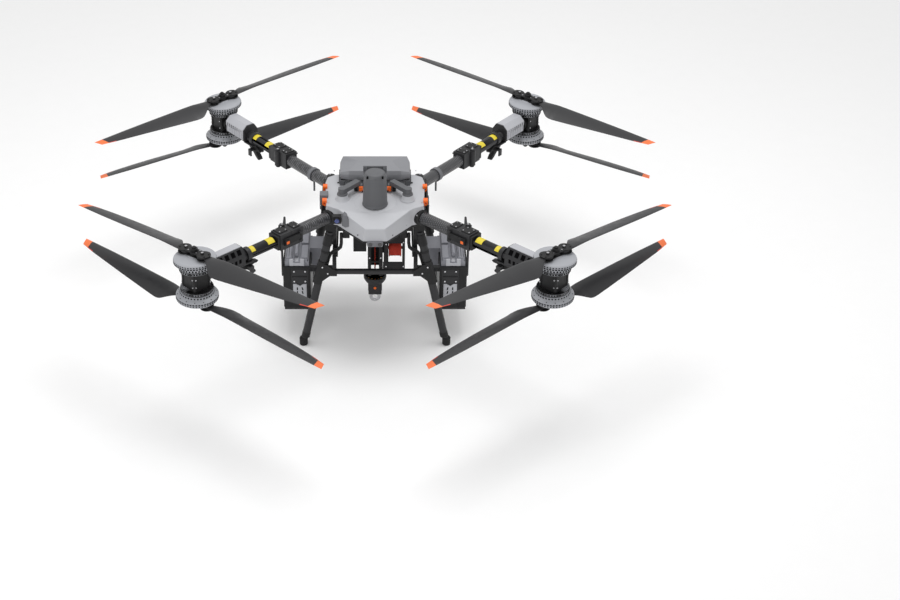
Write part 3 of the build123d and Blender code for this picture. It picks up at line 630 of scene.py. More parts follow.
def blade_mesh(spin):
    """One folding blade along +X with its orange tip; spin says which edge leads."""
    stations = [0.060 + 0.008 * i for i in range(24)]
    stations += [0.27 + 0.03 * i for i in range(16)]
    stations += [TIP_START - 0.0015, TIP_START, 0.76, 0.775, BLADE_TIP_R]
    rings = []
    for radius in stations:
        lead = smooth_value(LEADING, radius)
        trail = smooth_value(TRAILING, radius)
        thick = smooth_value(THICKNESS, radius)
        pitch = math.radians(smooth_value(PITCH, radius)) * spin
        slant = 0.5 * max(0.0, min(1.0, (radius - 0.68) / (BLADE_TIP_R - 0.68)))
        flatness = max(0.0, min(1.0, (0.15 - radius) / 0.05))
        section = []
        for step in range(SECTION_SIDES):
            angle = 2 * math.pi * step / SECTION_SIDES
            across = math.cos(angle)
            rise = math.sin(angle)
            share = (1 - across) / 2
            fullness = flatness + (1 - flatness) * (1.12 - 0.75 * share)
            chordwise = lead + (trail - lead) * share
            height = rise * thick / 2 * fullness + (1 - flatness) * thick * 0.35 * math.sin(math.pi * share)
            y = spin * chordwise
            section.append(
                (
                    radius - slant * (lead - chordwise),
                    y * math.cos(pitch) - height * math.sin(pitch),
                    y * math.sin(pitch) + height * math.cos(pitch),
                )
            )
        rings.append(section)
    mesh = lofted(rings, name="blade")
    mesh.materials.append(BLADE)
    mesh.materials.append(BLADE_TIP)
    mesh.materials.append(RED_MARK)
    for face in mesh.polygons:
        middle = face.center
        lead_y = abs(spin * 0.015 - middle.y)
        distance = middle.x + 0.5 * lead_y
        if distance > TIP_START + 0.004:
            face.material_index = 1
        elif middle.x > 0.69 and middle.y * spin < -0.031:
            face.material_index = 2
    eye = lathe(
        [(0, -0.0055), (0.0245, -0.0055), (0.026, -0.004), (0.026, 0.004), (0.0245, 0.0055), (0, 0.0055)], 40,
    )
    eye.materials.append(BLADE)
    place_mesh(eye, Matrix.Translation((0.053, 0, 0)))
    return joined(f"blade_{spin}", [mesh, eye])


blade_meshes = {spin: blade_mesh(spin) for spin in (1, -1)}
for corner in CORNERS:
    for level, up in (("upper", 1), ("lower", -1)):
        spin = UPPER_SPIN[corner] * up
        for name, turn in (("a", 0.0), ("b", math.pi)):
            node = f"blade_{level}_{corner}_{name}"
            mesh = blade_meshes[spin].copy()
            place_mesh(mesh, rotor_matrix(level, corner) @ Matrix.Rotation(turn, 4, "Z"))
            piece(f"{node}_skin", mesh, None, node, node=node, crease=40)


# ---------------------------------------------------------------- motors

# Profiles of (radius, height) about the blade plane of an upper rotor. A lower rotor mirrors them.
BELL_R = 0.099
BELL = (
    (0.0, -0.0105), (0.028, -0.0105), (0.030, -0.0135), (0.060, -0.0150), (0.088, -0.0165), (0.0950, -0.0182),
    (0.0982, -0.0212), (BELL_R, -0.0245), (BELL_R, -0.0310), (0.0975, -0.0318), (0.0975, -0.0326),
    (BELL_R, -0.0334), (BELL_R, -0.0408), (0.0978, -0.0422), (0.0850, -0.0496), (0.0805, -0.0512),
    (0.0798, -0.0530), (0.0798, -0.0640), (0.0750, -0.0650), (0.0730, -0.0640), (0.0730, -0.0450),
    (0.0, -0.0450),
)
LIP = (
    (0.0, -0.066), (0.068, -0.066), (0.069, -0.0683), (0.0755, -0.0683), (0.0770, -0.0698), (0.0770, -0.0815),
    (0.0755, -0.0830), (0.0, -0.0830),
)
KNOB = ((0.0, 0.0325), (0.0085, 0.0325), (0.010, 0.031), (0.010, 0.0245), (0.016, 0.0245), (0.0172, 0.0233),
        (0.0172, 0.0118), (0.0, 0.0118))

for corner in CORNERS:
    arm = f"arm_{corner}"
    for level, up in (("upper", 1), ("lower", -1)):
        body = f"rotor_{level}_{corner}"
        matrix = rotor_matrix(level, corner) @ Matrix.Diagonal((1, 1, up, 1))
        bell = lathe(BELL, 96, matrix)
        piece(f"{body}_bell", bell, MOTOR, body, node=body, crease=28)
        # The vent rings are near-black blocks on the bell: painted shade inside the vent openings.
        details = [
            ring(
                46, 0.0982, (0.0030, 0.0092, 0.0058), PAINTED_SHADE_SLOT, matrix @ Matrix.Translation((0, 0, -0.0371)),
            ),
            ring(
                46, 0.0982, (0.0030, 0.0070, 0.0044), PAINTED_SHADE_SLOT, matrix @ Matrix.Translation((0, 0, -0.0278)),
            ),
            ring(
                34, 0.0792, (0.0030, 0.0082, 0.0070), PAINTED_SHADE_SLOT, matrix @ Matrix.Translation((0, 0, -0.0585)),
            ),
            ring(
                14, 0.0912, (0.0036, 0.0036, 0.0030), PAINTED_SHADE_SLOT, matrix @ Matrix.Translation((0, 0, -0.0460)),
            ),
        ]
        piece(f"{body}_vents", joined("vents", details), None, body)
        for number, solid in enumerate(islands(body)):
            middle = centre_of(solid)
            reach = max((vert.co - middle).length for vert in solid.vertices)
            if 0.05 < reach < BELL_R - 0.001:
                piece(f"{body}_clamp_{number}", solid, BLACK, body, bevel=0.0012)
        piece(f"{body}_knob", lathe(KNOB, 32, matrix), BLACK, body, crease=30)
        bolts = [
            heads([(s * 0.053, 0, 0.0178) for s in (1, -1)], 0.0062, 0.004, STEEL, matrix, sides=24),
            heads(
                [(s * 0.080, t * 0.014, 0.0128) for s in (1, -1) for t in (1, -1)], 0.0036, 0.003, BLACK,
                matrix,
            ),
            heads(
                [(s * 0.026, t * 0.012, 0.0128) for s in (1, -1) for t in (1, -1)], 0.0034, 0.003, STEEL,
                matrix,
            ),
            ring(2, 0.0665, (0.022, 0.0035, 0.0045), BLACK, matrix @ Matrix.Translation((0, 0, 0.0135))),
        ]
        piece(f"{body}_bolts", joined("bolts", bolts), None, body)
        lip = lathe(LIP, 80, matrix)
        piece(f"stator_{level}_{corner}", lip, MOTOR, arm, crease=30)
        # The stator teeth are near-black blocks on the lip: painted shade in the gaps between the teeth.
        teeth = ring(
            36, 0.0762, (0.0030, 0.0068, 0.0066), PAINTED_SHADE_SLOT, matrix @ Matrix.Translation((0, 0, -0.0755)),
        )
        piece(f"stator_teeth_{level}_{corner}", teeth, None, arm)


# ---------------------------------------------------------------- arms

COLUMN_HALF = 0.045
COLUMN_POST_INSET = 0.004
COLUMN_POST_R = 0.009
KNUCKLE_REACH = 0.15
WEAVE = {}
for corner in CORNERS:
    arm = f"arm_{corner}"
    matrix, side = arm_matrix(corner)
    heading = math.atan2(matrix[1][0], matrix[0][0])
    WEAVE[corner] = carbon(f"carbon_{corner}", heading)
    node = f"arm_tube_{corner}"
    for number, solid in enumerate(islands(node)):
        reach = (centre_of(solid) - matrix.translation).length
        if reach > KNUCKLE_REACH:
            piece(f"{node}_tube", solid, WEAVE[corner], arm, node=node, crease=30)
        else:
            piece(f"{node}_knuckle", solid, HOUSING, arm, bevel=0.003, node=node, segments=3)

    node = f"motor_mount_{corner}"
    for number, solid in enumerate(islands(node)):
        local = matrix.inverted() @ centre_of(solid)
        near_hub = local.x > 0.50
        on_cover = local.x > 0.30 and side * local.y > 0.03
        material = BLACK if near_hub else BATTERY_LIGHT if on_cover else HOUSING
        piece(f"{node}_{number}", solid, material, arm, bevel=0.0015, node=node)
    posts = []
    for x in (-1, 1):
        for y in (-1, 1):
            post_x = HINGE_TO_HUB + x * (COLUMN_HALF - COLUMN_POST_INSET)
            post_y = y * (COLUMN_HALF - COLUMN_POST_INSET)
            outline = [
                (
                    post_x + COLUMN_POST_R * math.cos(math.radians(a)),
                    post_y + COLUMN_POST_R * math.sin(math.radians(a)),
                )
                for a in range(0, 360, 45)
            ]
            posts.append(slab(outline, -0.047, 0.047, matrix))
    piece(f"column_posts_{corner}", joined("posts", posts), BLACK, arm, bevel=0.0015)
    screws = [
        heads(
            [(HINGE_TO_HUB + 0.052, y * 0.0415, z) for y in (1, -1) for z in (-0.02, 0.02)], 0.003, 0.004,
            STEEL, matrix, axis=(1, 0, 0),
        ),
        heads(
            [
                (HINGE_TO_HUB + x * 0.041, y * 0.052, z) for x in (1, -1) for y in (1, -1)
                for z in (-0.02, 0.02)
            ],
            0.003, 0.004, STEEL, matrix, axis=(0, 1, 0),
        ),
    ]
    piece(f"column_screws_{corner}", joined("screws", screws), None, arm)

    # Speed controller housing: slots in its slanted face, ribs on its side
    face = Vector((0, -side * 21, 32)).normalized()
    slope_x = Vector((1, 0, 0))
    slope_y = Vector((0, side * 21, 32)).normalized()
    mid = Vector((0.375, -side * 0.0345, 0.0500))
    out = Vector((0, -side * 32, 21)).normalized()
    tilt = matrix @ basis(slope_x, slope_y, slope_x.cross(slope_y), mid)
    # The slots are thin near-black bricks: painted shade inside the slots.
    slots = [
        brick((x - 0.011, x + 0.011), (-0.013, 0.013), (-0.0012, 0.0012), tilt)
        for x in (-0.054, -0.018, 0.018, 0.054)
    ]
    piece(f"controller_slots_{corner}", joined("slots", slots), PAINTED_SHADE_SLOT, arm, bevel=0.001)
    ribs = rows(9, 1, 0.13, 0.0, (0.003, 0.003, 0.046), BATTERY_LIGHT,
                matrix @ Matrix.Translation((0.3745, side * 0.0512, 0.013)))
    piece(f"controller_ribs_{corner}", ribs, None, arm)
    # The side panel's blocks are near-black: painted shade in its slots.
    panel = rows(5, 1, 0.10, 0.0, (0.012, 0.002, 0.020), PAINTED_SHADE_SLOT,
                 matrix @ Matrix.Translation((0.374, -side * 0.0452, 0.008)))
    piece(f"controller_panel_{corner}", panel, None, arm)

    cover_outline = [
        (-side * 0.020, 0.0655), (side * 0.0205, 0.0655), (side * 0.0455, 0.0415), (side * 0.0455, 0.020),
        (side * 0.0490, 0.020), (side * 0.0490, 0.0440), (side * 0.0225, 0.0695), (-side * 0.020, 0.0695),
    ]
    across = matrix @ Matrix.Translation((0.298, 0, 0)) @ ACROSS_ARM
    cover = slab(cover_outline, 0, 0.156, across)
    piece(f"controller_cover_{corner}", cover, BATTERY_LIGHT, arm, bevel=0.001)
    fins = rows(
        8, 1, 0.126, 0.0, (0.004, 0.003, 0.016), HOUSING,
        matrix @ Matrix.Translation((0.375, side * 0.0495, 0.031)),
    )
    piece(f"controller_fins_{corner}", fins, None, arm)

    # Propeller rest: a wing plate along the tube with a curved horn under it
    horn = [
        (0.306, -0.026), (0.262, -0.030), (0.238, -0.028), (0.206, -0.046), (0.190, -0.052), (0.199, -0.060),
        (0.222, -0.060), (0.232, -0.066), (0.228, -0.078), (0.212, -0.094), (0.207, -0.106), (0.218, -0.109),
        (0.236, -0.098), (0.258, -0.078), (0.280, -0.068), (0.300, -0.050),
    ]
    upright = matrix @ Matrix.Translation((0, -0.013, 0)) @ basis(
        Vector((1, 0, 0)), Vector((0, 0, 1)), Vector((0, -1, 0)), Vector()
    )
    piece(f"propeller_rest_{corner}", slab(horn, -0.026, 0.0, upright), BLACK, arm, bevel=0.002)
    wing = brick((0.236, 0.312), (-0.036, 0.036), (-0.033, -0.026), matrix)
    piece(f"rest_wing_{corner}", wing, HOUSING, arm, bevel=0.002)

    # Yellow labels on the tube
    bands = []
    for start, width in ((0.094, 0.040), (0.212, 0.030)):
        outline = []
        for radius in (0.0286, 0.0282):
            turns = range(2, 11) if radius > 0.0284 else range(10, 1, -1)
            outline += [
                (radius * math.cos(math.radians(15 * t)), radius * math.sin(math.radians(15 * t)))
                for t in turns
            ]
        wrap = matrix @ Matrix.Translation((start, 0, 0)) @ ACROSS_ARM
        bands.append(slab(outline, 0, width, wrap))
    piece(f"yellow_bands_{corner}", joined("bands", bands), YELLOW, arm)

    # Fold joint: cover plates, bolts, latch and lever
    caps = []
    for z in (1, -1):
        caps += [
            heads([(0, side * PIN_OFFSET, z * 0.0475)], 0.0125, 0.006, HOUSING, matrix, sides=32),
            heads([(0, side * PIN_OFFSET, z * 0.0505)], 0.006, 0.003, STEEL, matrix, sides=6),
        ]
    piece(f"pin_caps_{corner}", joined("caps", caps), None, AIRFRAME)
    outer = [
        brick((0.010, 0.062), (-0.030, 0.020), (z * 0.0415, z * 0.0465), matrix) for z in (1, -1)
    ]
    outer.append(brick((0.066, 0.084), (-0.034, 0.034), (-0.036, 0.036), matrix))
    piece(f"knuckle_plates_{corner}", joined("plates", outer), BLACK, arm, bevel=0.002)
    inner = [brick((-0.062, -0.022), (-0.028, 0.026), (z * 0.0415, z * 0.0465), matrix) for z in (1, -1)]
    piece(f"clevis_plates_{corner}", joined("plates", inner), BLACK, AIRFRAME, bevel=0.002)
    plate_bolts = heads(
        [(x, y, z * 0.0475) for x in (0.018, 0.054) for y in (-0.022, 0.012) for z in (1, -1)], 0.0035, 0.003,
        STEEL, matrix,
    )
    piece(f"knuckle_bolts_{corner}", plate_bolts, None, arm)
    clevis_bolts = heads(
        [(x, y, z * 0.0475) for x in (-0.054, -0.030) for y in (-0.020, 0.018) for z in (1, -1)], 0.0035,
        0.003, STEEL, matrix,
    )
    piece(f"clevis_bolts_{corner}", clevis_bolts, None, AIRFRAME)
    node = f"lock_lever_{corner}"
    for solid in islands(node):
        piece(f"{node}_bar", solid, BLACK, f"lever_{corner}", bevel=0.0015, node=node)
    release = brick((0.030, 0.047), (-side * 0.0545, -side * 0.0560), (-0.007, 0.007), matrix)
    piece(f"lever_release_{corner}", release, ORANGE, f"lever_{corner}", bevel=0.0006)

# Collars where the two front tubes leave the body shell.
for corner in CORNERS[:2]:
    matrix, side = arm_matrix(corner)
    root = -0.279
    collar = lathe(
        [(0.0305, 0.0), (0.040, 0.0), (0.0425, 0.004), (0.0425, 0.022), (0.038, 0.028), (0.0305, 0.028)], 40,
        matrix @ Matrix.Translation((root - 0.006, 0, 0)) @ Matrix.Rotation(math.pi / 2, 4, "Y"),
    )
    piece(f"root_collar_{corner}", collar, BLACK, AIRFRAME, crease=30)
    clamp_bolts = heads(
        [(root + 0.012, 0.0435 * math.cos(t), 0.0435 * math.sin(t)) for t in (0.6, 1.57, 2.54)], 0.004, 0.004,
        STEEL, matrix, axis=(0, 0, 1),
    )
    piece(f"collar_bolts_{corner}", clamp_bolts, None, AIRFRAME)

for number, solid in enumerate(islands("inner_arm_tubes")):
    middle = centre_of(solid)
    corner = ("front" if middle.y < 0 else "rear") + ("_left" if middle.x < 0 else "_right")
    piece(f"inner_tube_{corner}", solid, WEAVE[corner], AIRFRAME, node="inner_arm_tubes", crease=30)


def dress(node, material, bevel, body=AIRFRAME, crease=35):
    """Every solid of a CAD node with rounded edges and one finish."""
    for number, solid in enumerate(islands(node)):
        piece(f"{node}_{number}", solid, material, body, bevel=bevel, node=node, crease=crease)


dress("arm_knuckles", HOUSING, 0.003)
dress("hinge_pins", STEEL, 0.001)
dress("chassis_frame", BLACK, 0.0025)
dress("landing_legs", HOUSING, 0.0, crease=50)
dress("foot_pads", RUBBER, 0.006)
dress("cross_tubes", HOUSING, 0.001)
dress("battery_cradles", HOUSING, 0.003)
dress("winch_frame", BLACK, 0.0015)
dress("tie_hooks", ORANGE, 0.0012)
dress("winch_drum", ROPE, 0.001, "drum")


def mirrored(name, make, material, body, bevel=0.0, crease=35):
    """A mesh made on the right, and its mirror image, as one piece."""
    right = make()
    left = right.copy()
    place_mesh(left, Matrix.Diagonal((-1, 1, 1, 1)))
    return piece(name, joined(name, [right, left]), material, body, bevel=bevel, crease=crease)


def bricks(*boxes):
    """Several boxes given in millimetres as one mesh."""
    meshes = []
    for x, y, z in boxes:
        meshes.append(brick(*[tuple(value * MM for value in pair) for pair in (x, y, z)]))
    return joined("bricks", meshes)


def front_slab(outline, y_front, y_back):
    """An outline in X and Z, in millimetres, given a thickness along Y."""
    ring_points = [(x * MM, z * MM) for x, z in outline]
    count = len(ring_points)
    verts = [(x, y_front * MM, z) for x, z in ring_points] + [(x, y_back * MM, z) for x, z in ring_points]
    faces = [tuple(reversed(range(count))), tuple(range(count, 2 * count))]
    faces += [(i, (i + 1) % count, count + (i + 1) % count, count + i) for i in range(count)]
    return mesh_from("front_slab", verts, faces)


def faceted(right_points, faces):
    """A solid from points on the right, their mirror images, and faces that name them."""
    names = {}
    verts = []
    for label, (x, y, z) in right_points.items():
        names[label] = len(verts)
        verts.append((x * MM, y * MM, z * MM))
        names[label.upper()] = len(verts)
        verts.append((-x * MM, y * MM, z * MM))
    polygons = []
    for face in faces:
        polygons.append([names[label] for label in face.split()])
        swapped = [label.lower() if label.isupper() else label.upper() for label in face.split()]
        if set(swapped) != set(face.split()):
            polygons.append([names[label] for label in reversed(swapped)])
    return mesh_from("faceted", verts, polygons)


def cut(mesh, cutter):
    """The first mesh with the second taken away."""
    solid = add_object("solid", mesh)
    tool = add_object("tool", cutter)
    take = solid.modifiers.new("take", "BOOLEAN")
    take.operation = "DIFFERENCE"
    take.solver = "EXACT"
    take.object = tool
    graph = bpy.context.evaluated_depsgraph_get()
    result = bpy.data.meshes.new_from_object(solid.evaluated_get(graph), depsgraph=graph)
    bpy.data.objects.remove(solid)
    bpy.data.objects.remove(tool)
    return result


# ---------------------------------------------------------------- body shell

SHELL_POINTS = {
    "a": (88, -326, 791), "c": (48, -432, 762), "d": (58, -440, 696), "b": (180, -291, 795),
    "e": (183, -286, 698), "f": (238, -262, 799), "g": (247, -258, 698), "h": (248, -24, 797),
    "i": (256, 40, 698), "j": (236, 32, 799), "k": (257, 118, 698), "l": (198, 56, 799), "m": (200, 205, 704),
    "n": (120, 64, 799), "o": (110, 242, 698),
}
SHELL_FACES = (
    "c C A a", "c a b", "d c b e", "e b f g", "g f h i", "i h j k", "k j l m", "m l n o", "o n N O",
    "D C c d", "a A B F H J L N n l j h f b", "d e g i k m o O M K I G E D",
)
piece(
    "top_shell_skin", faceted(SHELL_POINTS, SHELL_FACES), SHELL, AIRFRAME, bevel=0.005,
    node="top_shell", segments=3, crease=8,
)
hump = lathe(
    [
        (0, -0.010), (0.104, -0.010), (0.1035, -0.0015), (0.096, 0.0015), (0.080, 0.0045), (0.066, 0.0065),
        (0, 0.0065),
    ],
    72, Matrix.Translation((0, -0.235, 0.7975)) @ Matrix.Rotation(math.radians(5.5), 4, "X"),
)
piece("dome_plinth", hump, SHELL, AIRFRAME, bevel=0.001, crease=30)


def post_skirt():
    profile = [
        (0, 0.797), (0.037, 0.797), (0.0345, 0.801), (0.0292, 0.807), (0.0272, 0.822), (0.0262, 0.824),
        (0, 0.824),
    ]
    return lathe(profile, 40, Matrix.Translation((0.160, -0.198, 0)))


mirrored("post_skirts", post_skirt, SHELL, AIRFRAME, crease=40)
# The ports are thin near-black patches: painted shade inside the port openings.
mirrored(
    "shell_ports", lambda: bricks(((176, 188), (-36, -24), (798, 800.6))), PAINTED_SHADE_SLOT, AIRFRAME,
    0.001,
)
mirrored(
    "shell_side_panels",
    lambda: bricks(
        ((252, 262), (-248, -2), (703, 789)), ((260, 266), (-206, -104), (712, 770)),
        ((250, 260), (10, 70), (703, 770)),
    ),
    BLACK, AIRFRAME, 0.003,
)
shell_screws = [
    (s * x * MM, y * MM, 0.8005) for s in (1, -1) for x, y in ((206, 96), (228, -238), (226, 60), (150, 172))
]
piece("shell_screws", heads(shell_screws, 0.0032, 0.003, STEEL), None, AIRFRAME)
side_screws = [(s * 0.2665, y * MM, z * MM) for s in (1, -1) for y in (-196, -155, -114) for z in (720, 762)]
piece(
    "side_panel_screws", heads(side_screws, 0.0034, 0.002, STEEL, axis=(1, 0, 0)), None, AIRFRAME,
)
facet_screws = [
    (s * x * MM, y * MM, z * MM) for s in (1, -1) for x, y, z in ((150, -322.5, 722), (84, -406.5, 714))
]
piece(
    "facet_screws", heads(facet_screws, 0.0035, 0.004, MODULE, axis=(0, -1, 0)), None, AIRFRAME,
)

dress("riser_covers", DOME, 0.005)
mirrored(
    "riser_brackets",
    lambda: bricks(
        ((62, 104), (-92, -66), (800, 818)), ((86, 102), (-122, -96), (800, 826)),
        ((60, 66), (-136, -120), (799, 812)),
    ),
    BLACK, AIRFRAME, 0.002,
)
dress("sensor_dome", DOME, 0.006, crease=40)
seam = lathe(
    [(0.0505, 0.9585), (0.0535, 0.9585), (0.0538, 0.9575), (0.0505, 0.9565)], 72,
    Matrix.Translation((0, -0.25, 0)),
)
piece("dome_seam", seam, LID_DARK, AIRFRAME)
# The notches are near-black blocks: painted shade inside the notches.
mirrored(
    "dome_notches", lambda: bricks(((33, 41), (-292, -282), (958, 969))), PAINTED_SHADE_SLOT, AIRFRAME,
    0.001,
)

# ---------------------------------------------------------------- parachute case and lid

LID_POINTS = {
    "a": (160, 76, 893), "b": (84, 27, 893), "c": (128, -55, 879), "d": (171, -40, 864), "e": (172, 62, 872),
    "f": (158, 88, 880), "g": (130, -60, 859), "h": (175, -46, 856), "i": (175, 78, 856), "j": (162, 90, 856),
    "k": (130, -60, 846), "l": (175, -46, 846), "m": (175, 78, 846), "n": (162, 90, 846),
    "o": (126, -56, 828), "p": (169, -43, 828), "q": (169, 75, 828), "r": (160, 86, 828),
}
LID_FACES = (
    "a b B A", "b c C B", "a e d c b", "a f e", "f a A F", "c d h g", "d e i h", "e f j i", "c g G C",
    "f F J j", "g h l k", "h i m l", "i j n m", "g k K G", "j J N n", "k l p o", "l m q p", "m n r q",
    "k o O K", "n N R r", "o p q r R Q P O",
)
lid_skin = cut(faceted(LID_POINTS, LID_FACES), bricks(((-58, 58), (-80, -14), (856, 900))))
piece("parachute_lid_skin", lid_skin, LID, "lid", bevel=0.0025, node="parachute_lid", crease=8)
piece(
    "lid_recess", bricks(((-54, 54), (-54, -15), (855, 859)), ((-40, 40), (-18, -14), (858, 884))), LID_DARK,
    "lid", bevel=0.0015,
)
dress("parachute_case", LID_DARK, 0.004)
mirrored(
    "case_ribs",
    lambda: bricks(*[((x, x + 5), (-66, -59), (735, 824)) for x in (62, 74, 86, 98, 140, 152)]),
    LID_DARK, AIRFRAME, 0.0015,
)
mirrored(
    "case_end_ribs",
    lambda: bricks(*[((174, 180), (y, y + 6), (730, 824)) for y in (-40, -15, 10, 35, 60)]),
    LID_DARK, AIRFRAME, 0.0015,
)
case_bolts = [(s * x * MM, -0.0615, z * MM) for s in (1, -1) for x in (70, 82, 94) for z in (804, 816)]
piece(
    "case_bolts", heads(case_bolts, 0.0036, 0.006, STEEL, axis=(0, -1, 0), sides=16), None, AIRFRAME,
)
back_ribs = rows(14, 1, 0.26, 0.0, (0.004, 0.004, 0.085), LID_DARK, Matrix.Translation((0, 0.0915, 0.775)))
piece("case_back_ribs", back_ribs, None, AIRFRAME)

# ---------------------------------------------------------------- nose sensor, camera, side module


def nose_sensor():
    outline = [(37, -470), (40, -452), (40, -425), (-40, -425), (-40, -452), (-37, -470)]
    return slab([(x * MM, (y + 18) * MM) for x, y in outline], 0.676, 0.699)


piece("nose_sensor_body", nose_sensor(), MODULE, AIRFRAME, bevel=0.003, segments=3)
for side, name in ((-1, "left"), (1, "right")):
    eye = lathe([(0, 0), (0.0085, 0), (0.0095, 0.0012), (0.0095, 0.004), (0, 0.004)], 32)
    place_mesh(
        eye, Matrix.Translation((side * 0.023, -0.4505, 0.6875)) @ Matrix.Rotation(math.pi / 2, 4, "X"),
    )
    piece(f"nose_eye_{name}", eye, DARK_GLASS, AIRFRAME, crease=30)
for solid_number, solid in enumerate(islands("sensor_modules")):
    middle = centre_of(solid)
    thin = max(v.co.x for v in solid.vertices) - min(v.co.x for v in solid.vertices) < 0.02
    on_nose = middle.y < -0.38
    material = BLACK if thin else MODULE
    piece(
        f"sensor_module_{solid_number}", solid, material, AIRFRAME,
        bevel=0.0008 if thin else 0.003, node="sensor_modules",
    )
CAMERA_HEIGHT = (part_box("camera_head")[0][2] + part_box("camera_head")[1][2]) / 2
dress("camera_bracket", MODULE, 0.002)
housing = front_slab(
    [(-161, 732), (-161, 778), (-150, 792), (-136, 788), (-124, 766), (-124, 728), (-144, 722)], -349, -290,
)
piece("camera_housing", housing, MODULE, AIRFRAME, bevel=0.003, segments=3)
dress("camera_head", BLACK, 0.004, "camera")
lens_place = Matrix.Translation((-0.1845, -0.360, CAMERA_HEIGHT)) @ Matrix.Rotation(math.pi / 2, 4, "X")
glass = lathe(
    [(0, 0.0035), (0.006, 0.0030), (0.0105, 0.0015), (0.013, -0.001), (0.013, -0.006), (0, -0.006)], 40,
    lens_place,
)
piece("camera_glass", glass, LENS, "camera", crease=60)
bezel = lathe(
    [(0.0125, -0.008), (0.0155, -0.008), (0.0155, 0.001), (0.0140, 0.002), (0.0125, 0.001)], 40, lens_place,
)
piece("camera_bezel", bezel, BLACK, "camera", crease=30)

# ---------------------------------------------------------------- undercarriage


def leg_clamp(front):
    """The clamp and corner plates where a leg meets its cross tube."""
    y = -262 if front else 262
    plate = front_slab(
        [(288, 372), (263, 368), (226, 398), (190, 398), (190, 430), (208, 438), (237, 462), (268, 470)],
        y - 7, y + 7,
    )
    low = Vector((0.2896, y * MM * 0.965, 0.352))
    high = Vector((0.2588, y * MM * 0.930, 0.474))
    return joined("clamp", [plate, pipe([low, high], 0.0245, 24)])


for front, name in ((True, "front"), (False, "rear")):
    mirrored(f"leg_clamps_{name}", lambda: leg_clamp(front), BLACK, AIRFRAME, 0.002)
    y = -0.262 if front else 0.262
    face = -1 if front else 1
    bolts = [
        (s * x * MM, y + face * 0.0075, z * MM) for s in (1, -1)
        for x, z in ((262, 450), (282, 386), (236, 414))
    ]
    piece(
        f"leg_clamp_bolts_{name}", heads(bolts, 0.004, 0.003, STEEL, axis=(0, face, 0)), None, AIRFRAME,
    )
for sx in (1, -1):
    for sy in (1, -1):
        top = Vector((sx * 0.222, sy * 0.230, 0.634))
        foot = Vector((sx * 0.364, sy * 0.279, 0.0))
        run = foot - top
        name = ("rear" if sy > 0 else "front") + ("_right" if sx > 0 else "_left")
        sleeve = pipe([top + run * 0.02, top + run * 0.10, top + run * 0.115], 0.0232, 28)
        strap = pipe([top + run * 0.16, top + run * 0.18], 0.0222, 28)
        boot = pipe([top + run * 0.885, top + run * 0.925], 0.0215, 28)
        piece(
            f"leg_sleeves_{name}", joined("sleeves", [sleeve, strap, boot]), BLACK, AIRFRAME,
            bevel=0.0015,
        )


def conduit():
    """A cable tube from the deck down the inside of a leg."""
    points = [
        (168, -186, 600), (168, -188, 545), (172, -190, 522), (184, -194, 512), (206, -202, 506),
        (222, -208, 494), (232, -212, 470), (240, -216, 440), (246, -220, 415),
    ]
    return pipe([(x * MM, y * MM, z * MM) for x, y, z in points], 0.0085, 12)


mirrored("leg_conduits", conduit, BLACK, AIRFRAME, crease=50)
mirrored(
    "deck_equipment",
    lambda: bricks(
        ((118, 184), (-192, -110), (612, 692)), ((126, 160), (-198, -176), (575, 640)),
        ((118, 150), (-60, 20), (600, 690)), ((140, 176), (60, 140), (590, 690)),
    ),
    BLACK, AIRFRAME, 0.004,
)
avionics_ribs = rows(12, 1, 0.19, 0.0, (0.005, 0.006, 0.09), HOUSING, Matrix.Translation((0, -0.1525, 0.625)))
piece("avionics_fins_front", avionics_ribs, None, AIRFRAME)
rear_ribs = rows(12, 1, 0.19, 0.0, (0.005, 0.006, 0.09), HOUSING, Matrix.Translation((0, 0.1525, 0.625)))
piece("avionics_fins_rear", rear_ribs, None, AIRFRAME)

# ---------------------------------------------------------------- batteries and cradles


def cradle_panel():
    """The front of a battery cradle: inset frame, groove and corner posts."""
    return bricks(
        ((326, 338), (-204, -199), (172, 410)), ((424, 459), (-204, -199), (172, 410)),
        ((338, 424), (-203, -199), (396, 410)), ((338, 424), (-203, -199), (172, 214)),
        ((344, 418), (-202, -199), (350, 358)), ((322, 463), (-206, -196), (404, 413)),
        ((322, 463), (106, 114), (404, 413)), ((459, 464), (-198, 108), (404, 413)),
    )


def cooling_plate():
    """The pale slotted plate on the front of a cradle."""
    return front_slab(
        [(346, 226), (346, 313), (362, 313), (380, 301), (398, 313), (414, 313), (414, 226)], -205, -200,
    )


# The plate's slots are thin near-black slabs: painted shade inside the slots.
def plate_slots():
    slots = []
    for z in (240, 264, 286):
        for x, lean in ((366, 1), (394, -1)):
            slots.append(
                front_slab(
                    [(x - 4, z - 8), (x + 2, z - 8), (x + 4 + lean * 2, z + 8), (x - 2 + lean * 2, z + 8)],
                    -205.6, -203,
                ),
            )
    return joined("slots", slots)


mirrored("cradle_panels", cradle_panel, BLACK, AIRFRAME, 0.0025)
mirrored("cradle_cooling_plates", cooling_plate, BATTERY_LIGHT, AIRFRAME, 0.001)
mirrored("cradle_plate_slots", plate_slots, PAINTED_SHADE_SLOT, AIRFRAME)
panel_bolts = [(s * x * MM, -0.2035, z * MM) for s in (1, -1) for x in (352, 408) for z in (386, 328)]
piece(
    "cradle_bolts", heads(panel_bolts, 0.0042, 0.003, STEEL, axis=(0, -1, 0), sides=16), None, AIRFRAME,
)
side_bands = [
    brick((s * 0.4595, s * 0.4635), (y * MM, (y + 14) * MM), (0.172, 0.405)) for s in (1, -1)
    for y in (-196, -50, 92)
]
piece("cradle_side_ribs", joined("ribs", side_bands), BLACK, AIRFRAME, bevel=0.0015)


